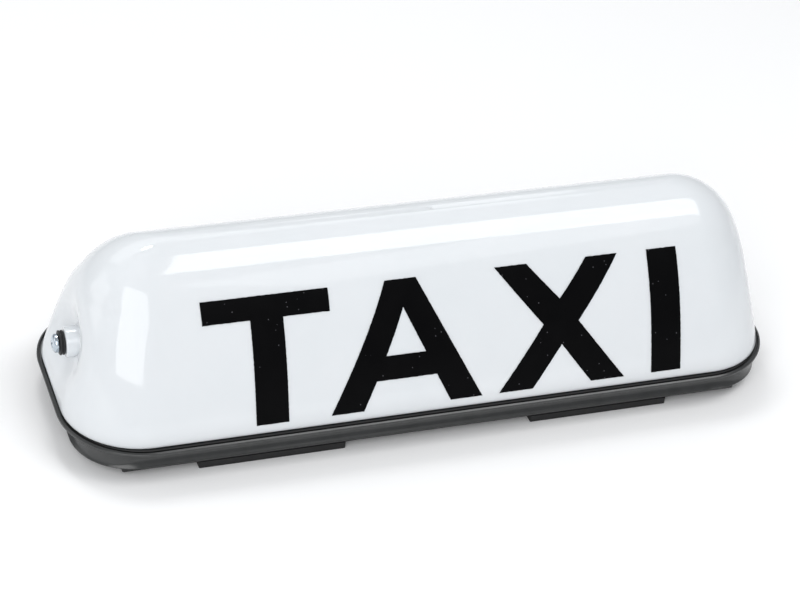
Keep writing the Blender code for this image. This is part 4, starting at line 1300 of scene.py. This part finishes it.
@dataclass
class Lamp:
    """One festoon lamp with its insulating base and its two sprung contacts."""

    shop: Workshop
    end: End
    centre: float = 72.0 * MM
    axis: float = 38.0 * MM
    glass_half: float = 13.5 * MM
    glass_radius: float = 5.3 * MM
    glass_wall: float = 0.7 * MM
    neck: float = 3.8 * MM
    cap_radius: float = 4.2 * MM
    cap_length: float = 7.0 * MM
    tip: float = 1.4 * MM
    gap: float = 0.3 * MM
    coil_turns: int = 16
    coil_radius: float = 0.55 * MM
    coil_half: float = 5.0 * MM
    wire: float = 0.12 * MM

    @property
    def middle(self) -> float:
        """Where the lamp's middle is along X."""
        return self.end.value * self.centre

    def glass(self) -> bpy.types.Object:
        """The drawn tube, necked in at both ends."""
        outside = []
        for step in range(9):
            angle = math.pi / 2 * step / 8
            outside.append((
                self.neck + (self.glass_radius - self.neck) * math.sin(angle),
                self.glass_half - 5.0 * MM * (1 - math.cos(angle)),
            ))
        outside += [(radius, -height) for radius, height in reversed(outside)]
        inside = [(radius - self.glass_wall, height) for radius, height in reversed(outside)]
        turn = Matrix.Rotation(math.pi / 2, 4, "Y")
        place = Matrix.Translation((self.middle, 0.0, self.axis)) @ turn
        shape = self.shop.turned(outside + inside, place, closed=True, steps=48)
        glass = self.shop.loose(f"lamp_glass_{self.end.word}_drawn", shape)
        return self.shop.finish(glass, Body.BASE, DRAWN_GLASS, f"lamp_glass_{self.end.word}")

    def cap(self, where: str, facing: int) -> bpy.types.Object:
        """One pressed cap with its conical tip and a rolled bead."""
        length = self.cap_length
        profile = [
            (0.0, length + self.tip), (0.7 * MM, length + self.tip - 0.05 * MM),
            (1.0 * MM, length + self.tip - 0.3 * MM), (1.7 * MM, length - 0.4 * MM),
            (2.6 * MM, length - 1.3 * MM), (3.4 * MM, length - 2.1 * MM),
            (self.cap_radius - 0.2 * MM, length - 3.2 * MM),
            (self.cap_radius - 0.1 * MM, length - 3.6 * MM),
            (self.cap_radius - 0.1 * MM, 1.6 * MM), (self.cap_radius, 1.3 * MM),
            (self.cap_radius, 0.5 * MM), (self.cap_radius - 0.3 * MM, 0.1 * MM),
            (self.neck, 0.0), (0.0, 0.0),
        ]
        start = self.middle + facing * (self.glass_half + self.gap)
        turn = Matrix.Rotation(facing * math.pi / 2, 4, "Y")
        place = Matrix.Translation((start, 0.0, self.axis)) @ turn
        node = f"lamp_cap_{self.end.word}_{where}"
        cap = self.shop.loose(node + "_drawn", self.shop.turned(profile, place, steps=40))
        return self.shop.finish(cap, Body.BASE, NICKEL_PLATE, node)

    def filament(self) -> bpy.types.Object:
        """The coiled filament and the two wires that hold it in the tube."""
        points = [Vector((-self.glass_half - 0.2 * MM, 0.0, 0.0)),
                  Vector((-self.coil_half - 1.5 * MM, 0.0, 0.4 * MM))]
        steps = self.coil_turns * 10
        for step in range(steps + 1):
            angle = math.tau * self.coil_turns * step / steps
            points.append(Vector((
                -self.coil_half + 2 * self.coil_half * step / steps,
                self.coil_radius * math.sin(angle), self.coil_radius * math.cos(angle),
            )))
        points += [Vector((self.coil_half + 1.5 * MM, 0.0, 0.4 * MM)),
                   Vector((self.glass_half + 0.2 * MM, 0.0, 0.0))]
        place = Vector((self.middle, 0.0, self.axis))
        curve = wire_curve("filament", [place + point for point in points], self.wire, 1)
        filament = as_mesh(curve, f"lamp_filament_{self.end.word}")
        return self.shop.finish(filament, Body.BASE, TUNGSTEN)

    def contact(self, where: str, facing: int) -> bpy.types.Object:
        """A sprung brass blade: a foot, a soft bend, an upright with a hole and a lead-in lip."""
        node = f"lamp_contact_{self.end.word}_{where}"
        low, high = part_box(node)
        thick = 0.6 * MM
        blade = self.glass_half + self.cap_length + 2 * self.gap
        bend = 1.1 * MM
        outline = [(blade - 8.0 * MM, low.z), (blade + thick - bend, low.z)]
        for step in range(1, 6):
            angle = math.pi / 2 * step / 5
            outline.append((blade + thick - bend + bend * math.sin(angle),
                            low.z + bend * (1 - math.cos(angle))))
        lip = high.z - 2.0 * MM
        outline += [(blade + thick, lip - 0.4 * MM), (blade + 1.2 * MM, lip + 0.7 * MM),
                    (blade + 2.2 * MM, high.z - 0.4 * MM), (blade + 1.7 * MM, high.z),
                    (blade + 0.6 * MM, lip + 0.9 * MM), (blade, lip - 0.2 * MM),
                    (blade, low.z + bend), (blade - 0.15 * MM, low.z + bend - 0.35 * MM),
                    (blade + thick - bend, low.z + thick), (blade - 8.0 * MM, low.z + thick)]
        points = [(self.middle + facing * x, z) for x, z in outline]
        shape = self.shop.prism(points, low.y, high.y, "XZ")
        contact = self.shop.loose(node + "_stamped", shape)
        place = self.middle + facing * blade
        tools = [self.shop.column((place, 0.0, self.axis), 2.0 * MM, 3 * MM, "X")]
        self.shop.combine(contact, tools, "DIFFERENCE")
        return self.shop.finish(contact, Body.BASE, SPRING_BRASS, node)

    def rivet(self, facing: int) -> bpy.types.Object:
        """The hollow rivet through a contact's foot."""
        low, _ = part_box(f"lamp_contact_{self.end.word}_inner")
        profile = [(0.7, 0.65), (0.9, 0.95), (1.4, 1.05), (1.8, 0.9), (1.9, 0.65)]
        blade = self.glass_half + self.cap_length + 2 * self.gap
        place = Matrix.Translation((self.middle + facing * (blade - 5.0 * MM), 0.0, low.z))
        shape = self.shop.turned([(r * MM, z * MM) for r, z in profile], place, True, 32)
        where = "outer" if facing == self.end.value else "inner"
        rivet = self.shop.loose(f"contact_rivet_{self.end.word}_{where}", shape)
        return self.shop.finish(rivet, Body.BASE, NICKEL_PLATE)

    def base(self) -> bpy.types.Object:
        """The phenolic block with its moulded side ribs."""
        node = f"lamp_base_{self.end.word}"
        low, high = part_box(node)
        base = self.shop.loose(node + "_moulded", self.shop.block(low, high, 0.9 * MM, 4))
        tools = []
        for step in range(9):
            x = low.x + (high.x - low.x) * (step + 1) / 10
            for y in (low.y, high.y):
                tools.append(self.shop.loose("tool_flute", self.shop.block(
                    (x - 1.1 * MM, y - 0.6 * MM, low.z + 1.2 * MM),
                    (x + 1.1 * MM, y + 0.6 * MM, high.z - 1.2 * MM), 0.3 * MM, 2)))
        self.shop.combine(base, tools, "DIFFERENCE")
        return self.shop.finish(base, Body.BASE, BROWN_PHENOLIC, node)

    def build(self) -> None:
        """Makes every piece of the lamp."""
        self.base()
        self.glass()
        self.filament()
        for where, facing in (("inner", -self.end.value), ("outer", self.end.value)):
            self.cap(where, facing)
            self.contact(where, facing)
            self.rivet(facing)


def wire_curve(
    name: str, points: Sequence[Vector], radius: float, resolution: int
) -> bpy.types.Object:
    """A round wire through points.

    Args:
        name: The object's name.
        points: Its route.
        radius: Its radius.
        resolution: The bevel's resolution.

    Returns:
        The curve object.
    """
    curve = bpy.data.curves.new(name, "CURVE")
    curve.dimensions = "3D"
    curve.bevel_depth = radius
    curve.bevel_resolution = resolution
    curve.use_fill_caps = True
    spline = curve.splines.new("POLY")
    spline.points.add(len(points) - 1)
    for place, point in zip(spline.points, points):
        place.co = (*point, 1.0)
    made = bpy.data.objects.new(name, curve)
    bpy.context.scene.collection.objects.link(made)
    return made


def as_mesh(made: bpy.types.Object, name: str) -> bpy.types.Object:
    """Turns a curve object into a welded mesh object, and removes the curve.

    Args:
        made: The curve object.
        name: The mesh object's name.

    Returns:
        The mesh object.
    """
    graph = bpy.context.evaluated_depsgraph_get()
    mesh = bpy.data.meshes.new_from_object(made.evaluated_get(graph))
    mesh.name = name
    shape = bmesh.new()
    shape.from_mesh(mesh)
    bmesh.ops.remove_doubles(shape, verts=shape.verts, dist=0.001 * MM)
    bmesh.ops.recalc_face_normals(shape, faces=shape.faces)
    shape.to_mesh(mesh)
    shape.free()
    mesh.shade_smooth()
    mesh.set_sharp_from_angle(angle=math.radians(40.0))
    bpy.data.objects.remove(made, do_unlink=True)
    welded = bpy.data.objects.new(name, mesh)
    bpy.context.scene.collection.objects.link(welded)
    return welded


@dataclass
class Wiring:
    """The terminal block, its screws and the four leads to the lamps."""

    shop: Workshop
    lead_radius: float = 1.1 * MM
    port_y: float = 3.5 * MM
    port_rise: float = 4.0 * MM
    well: float = 2.9 * MM
    screw_x: float = 5.5 * MM
    lamp_x: float = 72.0 * MM
    base_half: float = 31.0 * MM
    contact_reach: float = 21.5 * MM
    spread: float = 14.0 * MM

    def block(self) -> bpy.types.Object:
        """The nylon block: two rounded towers, screw wells and lead ports."""
        low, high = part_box("terminal_block")
        block = self.shop.loose("terminal_block_moulded", self.shop.block(low, high, 1.3 * MM, 4))
        tools = [
            self.shop.column((x, 0, high.z), self.well, 7 * MM)
            for x in (-self.screw_x, self.screw_x)
        ]
        tools += [
            self.shop.column((end.value * high.x, y, low.z + self.port_rise),
                             self.lead_radius + 0.5 * MM, 3 * MM, "X")
            for end in End for y in (-self.port_y, self.port_y)
        ]
        waist = 1.6 * MM
        for y in (low.y, high.y):
            tools.append(self.shop.loose("tool_waist", self.shop.block(
                (-waist / 2, y - 1.8 * MM, low.z - 1 * MM), (waist / 2, y + 1.8 * MM, high.z + 1 * MM))))
        tools.append(self.shop.loose("tool_waist", self.shop.block(
            (-waist / 2, low.y - 1 * MM, high.z - 3 * MM), (waist / 2, high.y + 1 * MM, high.z + 1 * MM))))
        self.shop.combine(block, tools, "DIFFERENCE")
        return self.shop.finish(block, Body.BASE, NATURAL_NYLON, "terminal_block")

    def clamp_screw(self, node: str) -> bpy.types.Object:
        """A slotted brass clamping screw."""
        low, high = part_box(node)
        x = (low.x + high.x) / 2
        profile = [(0.0, high.z), (2.0 * MM, high.z), (2.3 * MM, high.z - 0.2 * MM),
                   (2.4 * MM, high.z - 0.5 * MM), (2.4 * MM, low.z + 3.0 * MM),
                   (1.5 * MM, low.z + 3.0 * MM), (1.5 * MM, low.z), (0.0, low.z)]
        place = Matrix.Translation((x, 0.0, 0.0))
        screw = self.shop.loose(node + "_turned", self.shop.turned(profile, place, steps=40))
        shape = self.shop.block((-3 * MM, -0.4 * MM, high.z - 0.9 * MM),
                                (3 * MM, 0.4 * MM, high.z + 1 * MM))
        bmesh.ops.transform(shape, matrix=place @ Matrix.Rotation(math.radians(40), 4, "Z"),
                            verts=shape.verts)
        self.shop.combine(screw, [self.shop.loose("tool_slot", shape)], "DIFFERENCE")
        return self.shop.finish(screw, Body.BASE, SPRING_BRASS, node)

    def route(self, end: End, y: float, near: bool, plate_top: float) -> list[Vector]:
        """A lead's route from its port to the foot of a lamp's contact, as the solids run."""
        floor = plate_top + 0.5 * MM + self.lead_radius
        port = plate_top + 0.3 * MM + self.port_rise
        block_end = 11.0 * MM
        place = self.lamp_x - self.contact_reach if near else self.lamp_x + self.contact_reach
        aside = math.copysign(self.spread, y)
        rise = plate_top + 9.2 * MM
        reach = 4.5 * MM + 0.3 * MM + self.lead_radius
        points = [
            (block_end - 1.5 * MM, y, port),
            (block_end + 3.0 * MM, y, port),
            (block_end + 9.0 * MM, y * 1.8, floor + 0.8 * MM),
            (self.lamp_x - self.base_half - 4.0 * MM, aside * 0.93, floor),
        ]
        if not near:
            points.append((self.lamp_x, aside * 1.06, floor))
        points += [
            (place - 6.0 * MM, aside, floor + 0.4 * MM),
            (place - 1.0 * MM, aside * 0.9, floor + 4.5 * MM),
            (place, math.copysign(reach + 2.0 * MM, y), rise + 0.4 * MM),
            (place, math.copysign(reach, y), rise),
        ]
        return [Vector((end.value * a, b, c)) for a, b, c in points]

    def lead(self, end: End, live: bool) -> bpy.types.Object:
        """One insulated lead."""
        word = "live" if live else "earth"
        node = f"lead_{word}_{end.word}"
        plate_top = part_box("terminal_block")[0].z - 0.3 * MM
        y = self.port_y if live else -self.port_y
        points = smooth_route(self.route(end, y, live, plate_top), 12)
        curve = wire_curve(node + "_tube", points, self.lead_radius, 4)
        lead = as_mesh(curve, node + "_insulated")
        return self.shop.finish(lead, Body.BASE, RED_PVC if live else BLACK_PVC, node)

    def build(self) -> None:
        """Makes the block, its screws and the leads."""
        self.block()
        for number in (1, 2):
            self.clamp_screw(f"terminal_screw_{number}")
        for end in End:
            for live in (True, False):
                self.lead(end, live)


def smooth_route(points: Sequence[Vector], steps: int) -> list[Vector]:
    """Catmull-Rom points through the given ones.

    Args:
        points: The route's own points.
        steps: Points for each stretch.

    Returns:
        The smoothed route.
    """
    padded = [points[0] * 2 - points[1], *points, points[-1] * 2 - points[-2]]
    route = []
    for a, b, c, d in zip(padded, padded[1:], padded[2:], padded[3:]):
        for step in range(steps):
            t = step / steps
            route.append(0.5 * (2 * b + (c - a) * t + (2 * a - 5 * b + 4 * c - d) * t**2
                                + (3 * b - a - 3 * c + d) * t**3))
    route.append(points[-1])
    return route


@dataclass
class Reflector:
    """The white pressed plate that carries the lamps."""

    shop: Workshop
    thickness: float = 1.2 * MM
    half: float = 42.0 * MM
    lean: float = 4.0 * MM
    bend: float = 2.0 * MM
    pillar: tuple[float, float] = (130.0 * MM, 27.0 * MM)
    hole: float = 2.3 * MM
    wiring_y: float = 20.0 * MM
    wiring_hole: float = 5.0 * MM
    bead_height: float = 0.0

    def build(self) -> bpy.types.Object:
        """Makes the plate with rounded bends."""
        low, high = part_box("reflector_plate")
        right = self.fold(self.half, low.z, high.z)
        left = [(-y, z) for y, z in reversed(right)]
        shape = self.shop.prism(left + right, low.x, high.x, "YZ")
        plate = self.shop.loose("reflector_plate_pressed", shape)
        middle = low.z + self.thickness / 2
        x, y = self.pillar
        tools = [self.shop.column((a, b, middle), self.hole, 5 * MM)
                 for a in (-x, x) for b in (-y, y)]
        tools.append(self.shop.column((0, self.wiring_y, middle), self.wiring_hole, 5 * MM))
        self.shop.combine(plate, tools, "DIFFERENCE")
        return self.shop.finish(plate, Body.BASE, WHITE_ENAMEL, "reflector_plate")

    def fold(self, half: float, low: float, high: float) -> list[tuple[float, float]]:
        """The right half of the section: out along the underside, up the lip and back."""
        slope = math.atan2(high - low, self.lean)
        outside, inside = [], []
        for step in range(7):
            angle = slope * step / 6
            outside.append((half - self.bend + self.bend * math.sin(angle),
                            low + self.bend * (1 - math.cos(angle))))
            small = self.bend - self.thickness
            inside.append((half - self.bend + small * math.sin(angle),
                           low + self.bend - small * math.cos(angle)))
        top = [(half + self.lean, high), (half + self.lean - self.thickness, high)]
        return [*outside, *top, *reversed(inside)]


@dataclass
class Studio:
    """The pale floor, the soft lights and the camera."""

    yaw: float = 0.3824
    elevation: float = 0.6134
    roll: float = -0.1061
    distance: float = 1383.7 * MM
    slide: tuple[float, float] = (2.1 * MM, -38.4 * MM)
    lens: float = 112.45
    floor_half: float = 9.0

    def camera(self) -> bpy.types.Object:
        """The camera, in front of the sign, to its left and above it, a little tilted."""
        sin_y, cos_y = math.sin(self.yaw), math.cos(self.yaw)
        sin_e, cos_e = math.sin(self.elevation), math.cos(self.elevation)
        back = Vector((-sin_y * cos_e, -cos_y * cos_e, sin_e))
        level = Vector((cos_y, -sin_y, 0.0))
        upright = back.cross(level)
        cos_r, sin_r = math.cos(self.roll), math.sin(self.roll)
        right = cos_r * level - sin_r * upright
        up = sin_r * level + cos_r * upright
        turn = Matrix((right, up, back)).transposed()
        aim = Vector((self.slide[0], self.slide[1], -self.distance))
        data = bpy.data.cameras.new("studio_camera")
        data.lens = self.lens
        data.sensor_width = 36.0
        data.clip_end = 50.0
        camera = bpy.data.objects.new("studio_camera", data)
        camera.matrix_world = Matrix.Translation(-(turn @ aim)) @ turn.to_4x4()
        bpy.context.scene.collection.objects.link(camera)
        bpy.context.scene.camera = camera
        return camera

    def floor(self) -> bpy.types.Object:
        """A wide sheet of matt white paper."""
        shape = bmesh.new()
        bmesh.ops.create_grid(shape, x_segments=1, y_segments=1, size=self.floor_half)
        mesh = bpy.data.meshes.new("studio_floor")
        shape.to_mesh(mesh)
        shape.free()
        floor = bpy.data.objects.new("studio_floor", mesh)
        bpy.context.scene.collection.objects.link(floor)
        material = bpy.data.materials.new("paper_matt_white")
        material.use_nodes = True
        shader = material.node_tree.nodes["Principled BSDF"]
        shader.inputs["Base Color"].default_value = linear("#FAFAFA")
        shader.inputs["Roughness"].default_value = 0.9
        shader.inputs["Specular IOR Level"].default_value = 0.1
        mesh.materials.append(material)
        return floor

    def softbox(
        self, name: str, place: Sequence[float], aim: Sequence[float], size: tuple[float, float],
        power: float, colour: str = "#FFFFFF",
    ) -> bpy.types.Object:
        """A rectangular soft light that faces a point.

        Args:
            name: Its name.
            place: Where it hangs.
            aim: The point that it faces.
            size: Its width and height.
            power: Its power in watts.
            colour: Its colour.

        Returns:
            The light.
        """
        data = bpy.data.lights.new(name, "AREA")
        data.shape = "RECTANGLE"
        data.size, data.size_y = size
        data.energy = power
        data.color = linear(colour)[:3]
        light = bpy.data.objects.new(name, data)
        facing = (Vector(aim) - Vector(place)).to_track_quat("-Z", "Y")
        light.matrix_world = Matrix.Translation(place) @ facing.to_matrix().to_4x4()
        bpy.context.scene.collection.objects.link(light)
        return light

    def world(self) -> None:
        """An even pale surround."""
        world = bpy.data.worlds.new("studio_surround")
        bpy.context.scene.world = world
        world.use_nodes = True
        surround = world.node_tree.nodes["Background"]
        surround.inputs["Color"].default_value = linear("#F4F7FB")
        surround.inputs["Strength"].default_value = 0.42

    def build(self) -> None:
        """Sets up the studio."""
        self.camera()
        self.floor()
        self.world()
        self.softbox("top_softbox", (0.55, -0.31, 1.25), (0.55, -0.31, 0.0), (0.9, 0.5), 5.6)
        self.softbox("top_second", (0.6, -0.76, 1.25), (0.4, -0.5, 0.0), (0.9, 0.36), 1.1)
        self.softbox("key_window", (-0.74, -1.2, 0.9), (-0.1, 0, 0.07), (1.18, 1.3), 13.4)
        self.softbox("rear_lamp", (-0.1, 0.62, 1.25), (-0.1, 0, 0.1), (0.26, 0.16), 2.6)
        self.softbox("rear_softbox", (-0.2, 1.25, 1.5), (0, 0.3, 0.0), (2.2, 0.9), 7.4)
        self.softbox("left_fill", (-1.6, 0.3, 0.7), (-0.1, 0, 0.05), (1.0, 0.8), 3.0)
        bpy.context.scene.view_settings.view_transform = "Standard"


def dress_cad_nodes() -> None:
    """Gives the CAD nodes that stay in view their real finish."""
    for name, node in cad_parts.items():
        for start, finish in CAD_FINISHES.items():
            if name.startswith(start):
                node.data.materials.clear()
                node.data.materials.append(finish.build())
                LOG.info("%s keeps its solid in %s", name, finish.name)


def main() -> None:
    """Builds the studio and every sub-assembly in order."""
    logging.basicConfig(level=logging.INFO, format="%(name)s: %(message)s")
    Studio().build()
    shop = Workshop()
    Dome(shop).build()
    Tray(shop).build()
    Footing(shop).build()
    Reflector(shop).build()
    Wiring(shop).build()
    for end in End:
        EndFastening(shop, end).build()
        Bracket(shop, end).build()
        Lamp(shop, end).build()
    screws = [f"{kind}_{number}" for kind in ("foot_screw", "reflector_screw")
              for number in range(1, 5)]
    screws += [f"bracket_screw_{end.word}" for end in End]
    for number, node in enumerate(screws):
        SmallScrew(shop).build(node, 0.4 + 0.7 * number)
    dress_cad_nodes()
    LOG.info("%d pieces made", len(shop.made))


if __name__ == "__main__":
    main()
